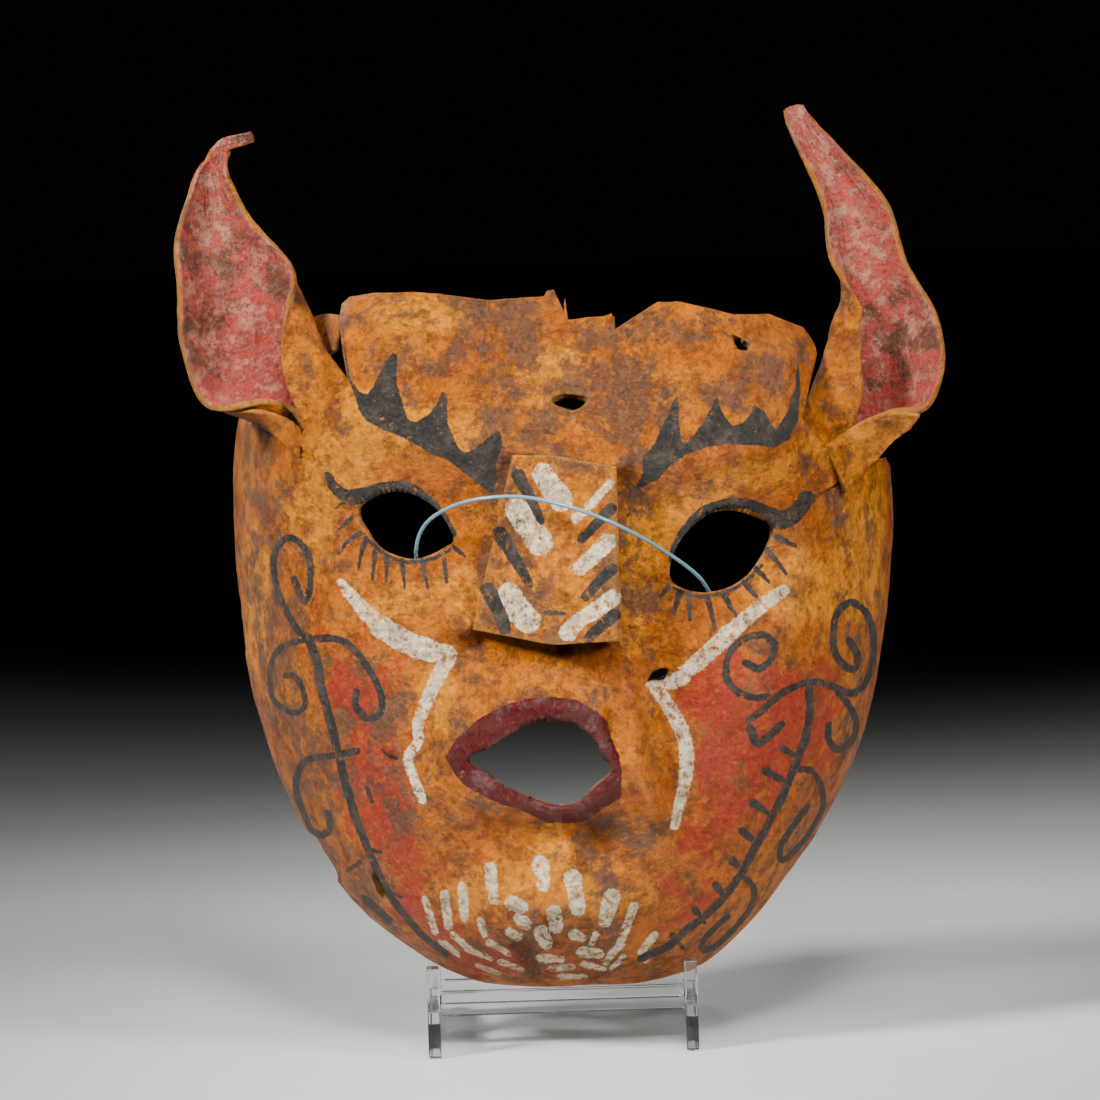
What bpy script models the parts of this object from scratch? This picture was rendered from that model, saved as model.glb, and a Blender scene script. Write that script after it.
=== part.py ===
"""Painted leather cat dance mask, standing on its clear acrylic stand.

Sizes are in millimetres and the solids are built in metres. The mask looks to -Y.
Points of the mask are (across, up, depth) in the mask's own frame, which leans back on the stand.
"""

import math

import bpy
import numpy as np
from mathutils import Vector
from mathutils.bvhtree import BVHTree

MM = 0.001
GAP = 0.3
HIDE = 2.6
LEAN_DEG = 5.5
FACE_DEPTH = -35.0
MIDDLE = (-2.4, 131.2)
COLUMNS = 60
ROWS = 15
STAND_Y = -31.15
ACROSS = 0.3

# The bowl of the face as seen from the front, from the right cheek up and round.
# The points over the forehead are where the bowl would close if it weren't open.
BOWL_LINE = [
    (99.9, 124.8), (103.1, 146.3), (104.9, 163.7), (104.5, 180.9), (102.1, 202.9), (89.7, 228.3),
    (61.5, 254.2), (4.0, 266.3), (-50.8, 262.4), (-81.1, 244.6), (-99.0, 221.7), (-105.0, 199.4),
    (-106.8, 172.0), (-105.7, 146.9), (-102.9, 118.7), (-95.9, 93.4), (-87.7, 73.8), (-73.7, 50.9),
    (-54.9, 34.0), (-35.5, 23.7), (-16.2, 20.6), (1.9, 20.3), (20.4, 21.0), (37.1, 24.9),
    (53.1, 37.2), (66.7, 52.7), (79.8, 71.0), (93.1, 96.9),
]
# Bearing from the right cheek, depth of the bowl, squareness, and how far the edge turns under.
BOWL = [
    (0, 84, 2.5, 93),
    (30, 80, 3.0, 93),
    (50, 68, 5.5, 90),
    (70, 66, 4.5, 90),
    (92, 72, 3.2, 90),
    (112, 66, 4.5, 90),
    (130, 68, 5.5, 90),
    (150, 80, 3.0, 93),
    (180, 84, 2.5, 93),
    (225, 74, 2.6, 96),
    (270, 58, 2.9, 100),
    (315, 74, 2.6, 96),
]
# The cut edge over the forehead, from the right shoulder to the left one.
TOP_EDGE = [
    (102.8, 185.7), (86.6, 178.1), (82.5, 187.9), (76.8, 194.9), (74.4, 198.2), (77.5, 208.7),
    (80.3, 218.6),
    (79.8, 221.7), (76.2, 227.2), (65.4, 231.3), (53.9, 231.3), 
    (37.4, 235.9), (30.6, 236.1), (16.1, 233.1), (16.2, 227.5), (13.6, 232.3), (8.2, 232.1),
    (5.1, 231.6), (2.3, 231.4), (1.1, 233.9), (1.6, 238.6), (-1.8, 241.2), (-4.0, 240.9),
    (-5.0, 239.1), (-22.5, 238.4), (-44.9, 241.6), (-58.4, 242.0), (-65.6, 240.7),
    (-68.5, 238.6), (-69.6, 233.3), (-68.6, 223.9), (-66.8, 212.6), (-72.2, 209.3),
    (-76.7, 204.5), (-81.6, 199.3),
    (-84.5, 195.3), (-102.9, 206.2),
]
# The torn edge low on the left cheek.
TEAR = [
    (-89.5, 77.0), (-87.4, 73.5), (-85.9, 71.9), (-82.8, 70.2), (-81.1, 66.1), (-77.5, 60.7),
    (-76.6, 58.5),
]
LEFT_EYE = [
    (-65.5, 173.2), (-58.2, 178.2), (-50.3, 178.9), (-42.6, 174.9), (-38.4, 170.1),
    (-35.5, 163.8), (-37.7, 161.7),
    (-43.1, 159.0), (-49.4, 158.0), (-58.1, 161.4), (-62.9, 166.8),
]
RIGHT_EYE = [
    (32.2, 148.5), (32.7, 156.3), (37.7, 164.0), (45.3, 169.4), (53.5, 169.7), (61.8, 166.3),
    (64.6, 163.8),
    (62.8, 157.9), (56.6, 150.2), (49.3, 145.8), (40.2, 144.8),
]
MOUTH = [
    (-33.9, 94.9), (-27.2, 98.2), (-20.2, 102.3), (-13.6, 105.2), (-6.7, 106.0), (0.2, 104.5),
    (6.6, 99.6),
    (9.5, 93.6), (11.9, 90.1), (6.7, 85.2), (0.6, 79.8), (-6.3, 79.1), (-13.7, 81.5), (-21.1, 84.8),
    (-27.8, 90.1),
]
BROW_POCKET = [
    (-3.9, 205.6), (-1.0, 207.4), (2.2, 207.9), (7.1, 206.5), (6.4, 204.4), (3.6, 202.6),
    (-0.5, 203.6),
]
FOREHEAD_HOLE = [
    (53.4, 226.0), (55.5, 224.1), (58.9, 221.8), (57.9, 219.9), (54.8, 220.3),
]
CHEEK_HOLE = [
    (23.4, 116.9), (25.0, 119.7), (27.9, 121.4), (30.4, 121.4), (29.7, 118.9), (27.4, 116.8),
]
LOW_SLOT = [
    (-65.4, 58.4), (-63.5, 58.0), (-60.9, 51.7), (-62.8, 51.4),
]
# Swellings and hollows: across, up, half width, half height, turn in degrees, rise.
SWELLINGS = [
    (-42.6, 224.7, 24, 18, 0, 3.5),
    (47.9, 219.6, 26, 18, 0, 4.0),
    (9.5, 221.5, 9, 24, -5, -3.5),
    (-45.1, 196.3, 26, 7, -20, 4.0),
    (46.9, 188.4, 28, 7, 10, 4.5),
    (0.5, 195.5, 19, 11, -5, 5.5),
    (-50.6, 169.6, 24, 15, 0, -7.0),
    (48.1, 158.3, 24, 17, 0, -7.0),
    (-3.8, 156.2, 13, 36, 0, 7.0),
    (-8.5, 116.3, 26, 13, 0, 8.0),
    (-9.3, 92.3, 36, 24, 0, 9.0),
    (-34.2, 136.2, 4.5, 7, 0, 4.5),
    (-70.6, 130.2, 26, 32, 0, 4.0),
    (66.8, 124.3, 26, 32, 0, 4.0),
    (-11.6, 69.5, 24, 6, 0, -4.5),
    (-10.7, 48.6, 32, 16, 0, 7.0),
    (7.1, 66.4, 7, 7, 0, -3.0),
    (-3.9, 65.5, 5, 9, 15, 2.5),
]
# Folds: points along, half width, rise.
FOLDS = [
    ([(12.7, 126.0), (18.0, 114.9), (19.0, 105.5), (20.4, 91.4), (25.2, 76.5)], 4.5, 4.5),
    ([(24.9, 114.7), (25.4, 102.1), (27.2, 88.0)], 4.0, -3.5),
    ([(-34.1, 129.0), (-42.4, 113.7), (-47.1, 93.5)], 5.0, -2.5),
    ([(-18.1, 191.1), (-1.5, 189.9), (17.7, 186.2)], 5.0, 4.5),
]

EAR_HIDE = 2.2
# Ears: rows from the root inside the mask to the tip. Each row runs from the free edge through the
# hollow of the ear to the rolled side, and round it to the raw edge that lies in front.
LEFT_EAR = [
    [(-78.3, 196.1, -13.5), (-75.2, 192.2, -6.5), (-68.6, 195.8, -11.0), (-59.5, 204.9, -22.0),
     (-66.9, 198.2, -24.8), (-74.0, 192.8, -19.5)],
    [(-86.1, 206.3, -12.0), (-83.1, 201.2, -4.5), (-75.5, 205.0, -5.0), (-67.1, 213.2, -17.0),
     (-74.1, 208.4, -20.0), (-81.5, 202.4, -16.0)],
    [(-94.1, 209.1, -18.0), (-93.0, 204.3, -10.5), (-85.1, 216.9, -4.0), (-73.4, 222.2, -12.5),
     (-80.6, 219.3, -17.0), (-87.3, 217.6, -17.0)],
    [(-111.6, 208.4, -14.0), (-106.5, 213.2, -4.0), (-95.7, 226.3, 0.0), (-77.8, 230.4, -7.0),
     (-82.5, 229.0, -12.0), (-87.6, 228.3, -13.0)],
    [(-119.2, 227.1, -12.0), (-111.2, 233.1, -3.0), (-100.0, 239.6, 0.0), (-81.0, 238.7, -5.0),
     (-82.9, 237.8, -10.0), (-86.4, 236.7, -11.5)],
    [(-119.6, 244.9, -12.0), (-112.2, 248.7, -3.0), (-100.9, 251.8, -1.0), (-88.7, 250.2, -4.0),
     (-85.9, 250.4, -7.0), (-84.0, 250.7, -10.0)],
    [(-120.0, 259.9, -10.0), (-114.3, 263.5, -4.0), (-108.0, 265.2, -2.0), (-101.7, 266.2, -3.0),
     (-98.6, 266.4, -5.0), (-96.7, 265.7, -7.0)],
    [(-114.8, 277.9, -8.0), (-112.2, 278.4, -5.5), (-109.7, 279.0, -4.8), (-107.2, 279.2, -5.0),
     (-105.0, 279.5, -5.8), (-103.1, 279.4, -7.0)],
    [(-109.2, 286.8, -7.0), (-107.9, 286.9, -6.6), (-106.7, 287.0, -6.4), (-105.4, 287.1, -6.5),
     (-104.2, 287.2, -6.8), (-103.2, 287.4, -7.2)],
    [(-104.9, 291.6, -7.5), (-104.3, 291.2, -7.5), (-103.7, 290.7, -7.5), (-103.1, 290.2, -7.6),
     (-102.5, 289.7, -7.7), (-101.9, 289.2, -7.8)],
    [(-95.5, 293.5, -11.5), (-95.4, 293.1, -11.5), (-95.2, 292.6, -11.5), (-95.1, 292.1, -11.5),
     (-94.9, 291.6, -11.5), (-94.8, 291.2, -11.5)],
]
RIGHT_EAR = [
    [(81.6, 179.8, -2.5), (80.6, 177.9, 3.5), (77.1, 186.2, -3.0), (70.5, 194.5, -13.0),
     (74.7, 188.1, -13.6), (78.9, 181.1, -6.3)],
    [(93.5, 188.2, -7.0), (90.9, 185.1, 1.0), (85.4, 189.1, 2.0), (76.3, 200.3, -9.0),
     (81.2, 195.4, -10.8), (88.6, 191.5, -7.0)],
    [(101.9, 199.2, -12.0), (102.7, 192.3, -3.0), (95.2, 203.1, 3.0), (80.0, 208.6, -7.5),
     (86.5, 206.8, -13.0), (93.7, 204.7, -15.0)],
    [(114.5, 200.6, -12.0), (113.0, 203.8, -6.0), (103.9, 212.2, 0.0), (85.1, 220.3, -7.5),
     (89.1, 219.3, -13.0), (93.8, 218.2, -14.5)],
    [(119.6, 214.2, -13.0), (111.9, 217.6, -6.0), (104.2, 220.0, -1.0), (87.5, 228.4, -6.5),
     (90.3, 227.4, -12.0), (93.7, 226.6, -13.5)],
    [(117.9, 229.9, -12.0), (111.7, 230.7, -5.0), (103.9, 231.6, -1.5), (90.2, 235.2, -5.0),
     (91.5, 234.5, -10.0), (94.0, 233.8, -11.5)],
    [(109.0, 245.8, -10.0), (104.3, 246.0, -5.0), (97.8, 246.2, -3.0), (91.0, 247.7, -4.0),
     (87.8, 248.4, -6.5), (85.7, 249.1, -9.0)],
    [(103.7, 264.5, -9.0), (99.6, 264.3, -5.5), (94.9, 264.4, -4.0), (89.9, 264.6, -4.5),
     (86.5, 264.7, -6.5), (84.3, 264.7, -9.0)],
    [(91.7, 280.8, -7.5), (88.6, 280.9, -5.5), (85.4, 281.0, -4.5), (82.0, 281.1, -5.0),
     (79.2, 281.5, -6.5), (77.6, 281.8, -8.0)],
    [(81.4, 292.4, -5.0), (80.2, 292.1, -4.8), (78.6, 291.8, -4.8), (76.7, 291.6, -5.0),
     (75.1, 291.3, -5.4), (73.6, 291.0, -6.0)],
    [(78.4, 297.1, -4.2), (77.5, 297.2, -4.1), (76.6, 297.2, -4.1), (75.6, 296.9, -4.2),
     (74.4, 296.6, -4.4), (72.8, 295.7, -4.7)],
]
# The nose piece: its left edge, its ridge and its right fold at the top and the bottom.
NOSE_HIDE = 2.6
NOSE_TOP = [(-16.3, 189.1), (-3.8, 188.4), (15.2, 184.7)]
NOSE_BOTTOM = [(-30.4, 135.5), (-5.9, 130.3), (15.1, 130.6)]
NOSE_RISE_TOP = 1.2
NOSE_RISE_BOTTOM = 10.0
NOSE_FALL = 2.5
NOSE_STEPS = 8
# The line that runs out of the left eye, over the nose and in at the right eye.
LINE_THICK = 1.2
LINE_ROUTE = [
    (-4.5, 114.3, -35.0), (-19.5, 116.1, -33.5), (-36.5, 122.2, -25.0), (-45.8, 135.6, -23.5),
    (-48.1, 151.3, -21.5), (-47.5, 158.8, -24.0), (-47.5, 160.4, -30.0),
    (-46.1, 165.7, -34.5), (-42.5, 170.2, -40.0), (-35.8, 173.8, -46.0), (-27.0, 175.9, -51.0),
    (-14.5, 176.2, -55.0),
    (-2.1, 173.4, -57.0), (10.3, 168.9, -56.5), (22.6, 162.6, -50.0), (32.4, 156.3, -41.0),
    (39.4, 150.8, -33.0),
    (42.8, 146.6, -26.0), (44.5, 141.3, -20.5), (41.6, 129.8, -23.0), (30.6, 119.2, -25.5),
    (14.9, 115.0, -31.0), (1.7, 114.1, -35.0),
]
LINE_STEPS = 3
KNOT_AT = (-1.4, 114.2, -35.0)
KNOT_WIDE = 2.2
# The stand: two side plates joined by a bar under the chin and a bar at the back.
PLATE = 4.0
PLATE_LEFT_X = -46.9
PLATE_RIGHT_X = 34.7
LIP_DEEP = 8.2
LIP_HIGH = 28.3
FOOT_HIGH = 13.5
FOOT_LONG = 104.0
BACK_NEAR = 41.0
BACK_WIDE = 10.0
BACK_HIGH = 72.0
BACK_LEAN = 12.0
REST_Y = 25.0
REST_TOP = 17.4
REST_HIGH = 7.8
TIE_IN = 10.0
TIE_TOP = 11.0


def bearing(points):
    """The direction of points about the middle of the face, in degrees from 0 to 360."""
    return np.degrees(np.arctan2(points[:, 1] - MIDDLE[1], points[:, 0] - MIDDLE[0])) % 360.0


def round_trip(at, where, values):
    """A smooth value that runs once around the face, through values at the bearings where."""
    at = np.asarray(at, float) % 360.0
    order = np.argsort(where)
    a = np.asarray(where, float)[order]
    v = np.asarray(values, float)[order]
    a = np.concatenate([a[-2:] - 360.0, a, a[:2] + 360.0])
    v = np.concatenate([v[-2:], v, v[:2]])
    slope = np.gradient(v, a)
    k = np.clip(np.searchsorted(a, at, side="right") - 1, 0, len(a) - 2)
    step = a[k + 1] - a[k]
    t = (at - a[k]) / step
    return (
        v[k] * (1 + 2 * t) * (1 - t) ** 2
        + v[k + 1] * t * t * (3 - 2 * t)
        + slope[k] * step * t * (1 - t) ** 2
        - slope[k + 1] * step * t * t * (1 - t)
    )


def smooth_line(points, per_span, closed=False):
    """Points on a smooth line through the given ones."""
    p = np.asarray(points, float)
    n = len(p)
    spans = n if closed else n - 1
    out = []
    for i in range(spans):
        if closed:
            a, b, c, d = p[(i - 1) % n], p[i], p[(i + 1) % n], p[(i + 2) % n]
        else:
            b, c = p[i], p[i + 1]
            a = p[i - 1] if i else 2 * b - c
            d = p[i + 2] if i + 2 < n else 2 * c - b
        for t in np.arange(per_span) / per_span:
            out.append(
                b
                + 0.5 * t * (c - a)
                + t * t * (a - 2.5 * b + 2 * c - 0.5 * d)
                + t**3 * (-0.5 * a + 1.5 * b - 1.5 * c + 0.5 * d)
            )
    if not closed:
        out.append(p[-1])
    return np.array(out)


def bowl_values(at):
    """Reach, depth, squareness and turn of the bowl in each direction."""
    line = np.array(BOWL_LINE, float)
    reach = np.hypot(line[:, 0] - MIDDLE[0], line[:, 1] - MIDDLE[1])
    table = np.array(BOWL, float)
    return [round_trip(at, bearing(line), reach)] + [
        round_trip(at, table[:, 0], table[:, k]) for k in (1, 2, 3)
    ]


def along_edge(at, edge):
    """How far out a cut edge runs in each direction."""
    e = np.array(edge, float)
    where = bearing(e)
    out = np.hypot(e[:, 0] - MIDDLE[0], e[:, 1] - MIDDLE[1])
    order = np.argsort(where, kind="stable")
    x = out * np.cos(np.radians(where))
    y = out * np.sin(np.radians(where))
    k = np.clip(np.searchsorted(where[order], at, side="right") - 1, 0, len(e) - 2)
    i, j = order[k], order[k + 1]
    dx, dy = np.cos(np.radians(at)), np.sin(np.radians(at))
    ex, ey = x[j] - x[i], y[j] - y[i]
    cross = dx * ey - dy * ex
    safe = np.where(np.abs(cross) < 1e-9, 1.0, cross)
    hit = (x[i] * ey - y[i] * ex) / safe
    return np.where(np.abs(cross) < 1e-9, out[i], hit)


def last_turn(at, reach, squareness, turn):
    """The angle at which the hide ends in each direction."""
    limit = np.radians(turn)
    for edge in (TOP_EDGE, TEAR):
        where = bearing(np.array(edge, float))
        inside = (at >= where.min()) & (at <= where.max())
        ratio = np.clip(along_edge(at, edge) / reach, 0.0, 0.9995)
        cut = np.arcsin(ratio ** (squareness / 2))
        limit = np.where(inside, np.minimum(limit, cut), limit)
    return limit


def turned_rows(at, end, rows):
    """Rows of angles: alike in neighbouring directions in the middle, ending at the cut edge."""
    apart = np.abs((at[:, None] - at[None, :] + 180.0) % 360.0 - 180.0)
    low = np.min(np.where(apart < 24.0, end[None, :], 9.0), axis=1)
    weight = np.exp(-((apart / 14.0) ** 2))
    common = 0.86 * (weight @ low) / weight.sum(axis=1)
    common = np.minimum(common, 0.9 * end)
    share = (np.arange(1, rows + 1) / rows)[:, None]
    middle = share / 0.6 * common
    rim = common + (share - 0.6) / 0.4 * (end - common)
    return np.where(share <= 0.6, middle, rim)


def relief(x, h, inside=False):
    """How far the hide swells towards the viewer; inside, sharp raised folds fill up."""
    rise = np.zeros_like(x)
    for cx, ch, wide, high, turn, height in SWELLINGS:
        c, s = math.cos(math.radians(turn)), math.sin(math.radians(turn))
        a = ((x - cx) * c + (h - ch) * s) / wide
        b = (-(x - cx) * s + (h - ch) * c) / high
        rise = rise + height * np.exp(-(a * a + b * b))
    for line, width, height in FOLDS:
        if height < 0 or not inside:
            rise = rise + height * np.exp(-((off_line(x, h, line) / width) ** 2))
    lip = 3.2 * np.exp(-(((off_line(x, h, MOUTH, True) - 2.5) / 4.5) ** 2))
    return rise + (0.4 * lip if inside else lip)


def off_line(x, h, line, closed=False):
    """Distance from a line through points, in the front view."""
    p = np.array(line, float)
    if closed:
        p = np.vstack([p, p[:1]])
    best = np.full(np.shape(x), 1e9)
    for (ax, ah), (bx, bh) in zip(p[:-1], p[1:]):
        dx, dh = bx - ax, bh - ah
        t = np.clip(((x - ax) * dx + (h - ah) * dh) / (dx * dx + dh * dh), 0.0, 1.0)
        best = np.minimum(best, np.hypot(x - ax - t * dx, h - ah - t * dh))
    return best


def face_surface(at, phi, inside=False):
    """Points of the hide in directions at, turned through the angles phi from the middle."""
    reach, depth, squareness, _ = bowl_values(at)
    q = np.sin(np.minimum(phi, math.pi)) ** (2.0 / squareness)
    x = MIDDLE[0] + reach * q * np.cos(np.radians(at))
    h = MIDDLE[1] + reach * q * np.sin(np.radians(at))
    fade = np.clip(np.cos(np.minimum(phi, math.pi / 2)) * 2.2, 0.0, 1.0)
    d = FACE_DEPTH + depth * (1.0 - np.cos(phi)) - fade * relief(x, h, inside)
    return np.stack([x, h, d], axis=-1)


def inner_surface(at, phi):
    """The back of the hide, a hide's thickness behind the front of it."""
    small = 0.01
    here = face_surface(at, phi, True)
    across = face_surface(at + 0.6, phi, True) - face_surface(at - 0.6, phi, True)
    outward = face_surface(at, phi + small, True) - face_surface(at, phi - small, True)
    n = np.cross(outward, across)
    n = n / np.maximum(np.linalg.norm(n, axis=-1, keepdims=True), 1e-9)
    return here + HIDE * n


def placed(points):
    """From the mask's own frame to the shared one, in metres."""
    p = np.asarray(points, float)
    c, s = math.cos(math.radians(LEAN_DEG)), math.sin(math.radians(LEAN_DEG))
    x, h, d = p[..., 0], p[..., 1], p[..., 2]
    return np.stack([x + ACROSS, STAND_Y + h * s + d * c, h * c - d * s], axis=-1) * MM


def grid_normals(p, wrap):
    """Normals of a grid of points; wrap closes it along its columns."""
    dr = np.gradient(p, axis=0)
    if wrap:
        dc = (np.roll(p, -1, axis=1) - np.roll(p, 1, axis=1)) / 2
    else:
        dc = np.gradient(p, axis=1)
    n = np.cross(dr, dc)
    size = np.linalg.norm(n, axis=-1, keepdims=True)
    return n / np.maximum(size, 1e-9)


def material(name, colour, roughness, alpha=1.0, transmission=0.0):
    m = bpy.data.materials.new(name)
    m.use_nodes = True
    shader = next(n for n in m.node_tree.nodes if n.type == "BSDF_PRINCIPLED")
    shader.inputs["Base Color"].default_value = (*colour, 1.0)
    shader.inputs["Roughness"].default_value = roughness
    shader.inputs["Alpha"].default_value = alpha
    shader.inputs["Transmission Weight"].default_value = transmission
    return m


def solid(name, points, faces, look):
    """One closed solid, its faces turned outwards."""
    mesh = bpy.data.meshes.new(name)
    mesh.from_pydata([tuple(p) for p in points], [], faces)
    mesh.validate()
    mesh.materials.append(look)
    ob = bpy.data.objects.new(name, mesh)
    bpy.context.scene.collection.objects.link(ob)
    mesh.calc_loop_triangles()
    volume = 0.0
    for t in mesh.loop_triangles:
        a, b, c = (mesh.vertices[i].co for i in t.vertices)
        volume += a.dot(b.cross(c))
    if volume < 0:
        mesh.flip_normals()
    return ob


def cut(ob, cutter):
    """Takes the cutter out of a solid and removes the cutter."""
    cutter.hide_render = True
    cutter.display_type = "WIRE"
    m = ob.modifiers.new("cut", "BOOLEAN")
    m.operation = "DIFFERENCE"
    m.solver = "EXACT"
    m.object = cutter
    seen = ob.evaluated_get(bpy.context.evaluated_depsgraph_get())
    mesh = bpy.data.meshes.new_from_object(seen)
    old = ob.data
    ob.modifiers.clear()
    ob.data = mesh
    mesh.name = ob.name
    bpy.data.meshes.remove(old)
    bpy.data.objects.remove(cutter)


def hole_cutter(name, outline, near, far, look, per_span=2):
    """A prism through the hide, along the mask's own depth."""
    line = smooth_line(outline, per_span, closed=True)
    n = len(line)
    front = [(x, h, near) for x, h in line]
    back = [(x, h, far) for x, h in line]
    faces = [tuple(range(n)), tuple(range(2 * n - 1, n - 1, -1))]
    faces += [(i, (i + 1) % n, n + (i + 1) % n, n + i) for i in range(n)]
    return solid(name, placed(front + back), faces, look)


def mask_shell(look):
    even = np.arange(COLUMNS) * 360.0 / COLUMNS
    corners = np.concatenate([bearing(np.array(e, float)) for e in (TOP_EDGE, TEAR)])
    near = np.min(np.abs(even[:, None] - corners[None, :]), axis=1)
    at = np.sort(np.concatenate([even[near > 1.2], corners]))
    at = at[np.concatenate([[True], np.diff(at) > 0.05])]
    reach, _, squareness, turn = bowl_values(at)
    end = last_turn(at, reach, squareness, turn)
    phi = turned_rows(at, end, ROWS)
    bearings = np.broadcast_to(at, phi.shape)
    outer = face_surface(bearings, phi)
    inner = inner_surface(bearings, phi)
    middle = face_surface(np.array([0.0]), np.array([1e-5]))[0]
    n = len(at)
    points = [middle, middle + np.array([0, 0, HIDE])]
    points += list(outer.reshape(-1, 3)) + list(inner.reshape(-1, 3))
    base, back = 2, 2 + ROWS * n
    faces = []
    for i in range(n):
        j = (i + 1) % n
        faces.append((0, base + i, base + j))
        faces.append((1, back + j, back + i))
        for r in range(ROWS - 1):
            a, b = base + r * n, base + (r + 1) * n
            faces.append((a + i, b + i, b + j, a + j))
            a, b = back + r * n, back + (r + 1) * n
            faces.append((a + j, b + j, b + i, a + i))
        a, b = base + (ROWS - 1) * n, back + (ROWS - 1) * n
        faces.append((a + i, b + i, b + j, a + j))
    ob = solid("mask_shell", placed(points), faces, look)
    for name, outline, spans in (
        ("left_eye", LEFT_EYE, 2),
        ("right_eye", RIGHT_EYE, 2),
        ("mouth", MOUTH, 2),
        ("brow_pocket", BROW_POCKET, 1),
        ("forehead_hole", FOREHEAD_HOLE, 1),
        ("cheek_hole", CHEEK_HOLE, 1),
        ("low_slot", LOW_SLOT, 1),
    ):
        cut(ob, hole_cutter(name, outline, -90.0, 90.0, look, spans))
    return ob


def lofted(name, rows, look, ring):
    """A solid from rows of points; each row is a closed section when ring is set."""
    rows = np.asarray(rows, float)
    count, n = rows.shape[0], rows.shape[1]
    faces = []
    for r in range(count - 1):
        for i in range(n):
            j = (i + 1) % n
            faces.append((r * n + i, (r + 1) * n + i, (r + 1) * n + j, r * n + j))
    if ring:
        for r in (0, count - 1):
            for i in range(n // 2 - 1):
                cap = [r * n + k for k in (i, i + 1, n - 2 - i, n - 1 - i)]
                faces.append(tuple(cap if r == 0 else cap[::-1]))
    return solid(name, placed(rows.reshape(-1, 3)), faces, look)


def sheet(name, net, rows_per_span, columns_per_span, thick, look):
    """A sheet of hide through a net of points, thickened to both sides."""
    net = np.array(net, float)
    lines = [smooth_line(row, columns_per_span) for row in net]
    grid = np.stack(lines)
    middle = np.stack([smooth_line(grid[:, k], rows_per_span) for k in range(grid.shape[1])], axis=1)
    n = grid_normals(middle, False)
    along = np.linspace(0.0, 1.0, len(middle))[:, None, None]
    half = thick / 2 * (1.0 - 0.45 * np.clip((along - 0.7) / 0.3, 0.0, 1.0))
    front, back = middle - n * half, middle + n * half
    rows = [np.vstack([f, b[::-1]]) for f, b in zip(front, back)]
    return lofted(name, rows, look, True)


def clear_of_hide(tree, spots):
    """The depth that stays in front of the mask at every one of the spots."""
    return min(hide_depth(tree, spot) for spot in spots) - GAP


def held_back(tree, start, end, near, far):
    """Moves the start of a straight run forward until the run to its end clears the mask."""
    for share in (0.06, 0.12, 0.2, 0.4, 0.6, 0.8):
        x = start[0] + (end[0] - start[0]) * share
        free = clear_of_hide(tree, [(x, start[1] + b) for b in (-3.0, 0.0, 3.0)]) - 0.2
        near = min(near, (free - share * far) / (1 - share))
    return near


def nose_rows(tree):
    """Sections of the folded nose piece from the brow down."""
    top_depth = clear_of_hide(tree, [NOSE_TOP[1]]) - NOSE_HIDE - NOSE_RISE_TOP
    bottom_depth = clear_of_hide(tree, [NOSE_BOTTOM[1]]) - NOSE_HIDE - NOSE_RISE_BOTTOM
    half = (NOSE_TOP[1][1] - NOSE_BOTTOM[1][1]) / NOSE_STEPS / 2
    out = []
    for k in range(NOSE_STEPS + 1):
        t = k / NOSE_STEPS
        left, ridge, fold = (
            np.array(a) * (1 - t) + np.array(b) * t for a, b in zip(NOSE_TOP, NOSE_BOTTOM)
        )
        crest = top_depth * (1 - t) + bottom_depth * t
        sides = []
        for x, step in ((left[0], 1.0), (fold[0], -1.0)):
            h = left[1] if step > 0 else fold[1]
            steps = (-2 * half, -half, 0.0, half, 2 * half)
            around = [(x + step * a, h + b) for a in (-1.0, 0.5, 2.0, 4.0) for b in steps]
            sides.append(clear_of_hide(tree, around) - 0.6)
        side = held_back(tree, left, ridge, sides[0], crest + NOSE_HIDE)
        far = sides[1]
        inner = (fold[0] - NOSE_HIDE, fold[1])
        near = min(crest + NOSE_FALL, far - NOSE_HIDE - 0.4)
        near = held_back(tree, inner, ridge, near + NOSE_HIDE, crest + NOSE_HIDE) - NOSE_HIDE
        out.append(
            [
                (left[0], left[1], side - NOSE_HIDE),
                (ridge[0], ridge[1], crest),
                (fold[0], fold[1], near),
                (fold[0], fold[1], far),
                (inner[0], fold[1], far),
                (inner[0], fold[1], near + NOSE_HIDE),
                (ridge[0], ridge[1], crest + NOSE_HIDE),
                (left[0] + 0.6, left[1], side),
            ]
        )
    return out


def hide_tree(ob):
    """The built mask, ready for measuring."""
    mesh = ob.data
    return BVHTree.FromPolygons([v.co[:] for v in mesh.vertices], [p.vertices[:] for p in mesh.polygons])


def hide_depth(tree, spot):
    """Depth of the front of the mask at a spot across and up."""
    start = placed(np.array([spot[0], spot[1], -150.0]))
    along = placed(np.array([spot[0], spot[1], 0.0])) - start
    along = along / np.linalg.norm(along)
    hit = tree.ray_cast(Vector(start), Vector(along))
    return FACE_DEPTH if hit[3] is None else hit[3] / MM - 150.0


def nose_piece(tree, look):
    return lofted("nose_piece", nose_rows(tree), look, True)


def line_points():
    return smooth_line(LINE_ROUTE, LINE_STEPS)


def hanging_line(look):
    curve = bpy.data.curves.new("hanging_line", "CURVE")
    curve.dimensions = "3D"
    spots = placed(line_points())
    spline = curve.splines.new("POLY")
    spline.points.add(len(spots) - 1)
    for point, spot in zip(spline.points, spots):
        point.co = (*spot, 1.0)
    curve.bevel_depth = LINE_THICK / 2 * MM
    curve.bevel_resolution = 2
    curve.use_fill_caps = True
    curve.materials.append(look)
    ob = bpy.data.objects.new("hanging_line", curve)
    bpy.context.scene.collection.objects.link(ob)
    return ob


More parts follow.
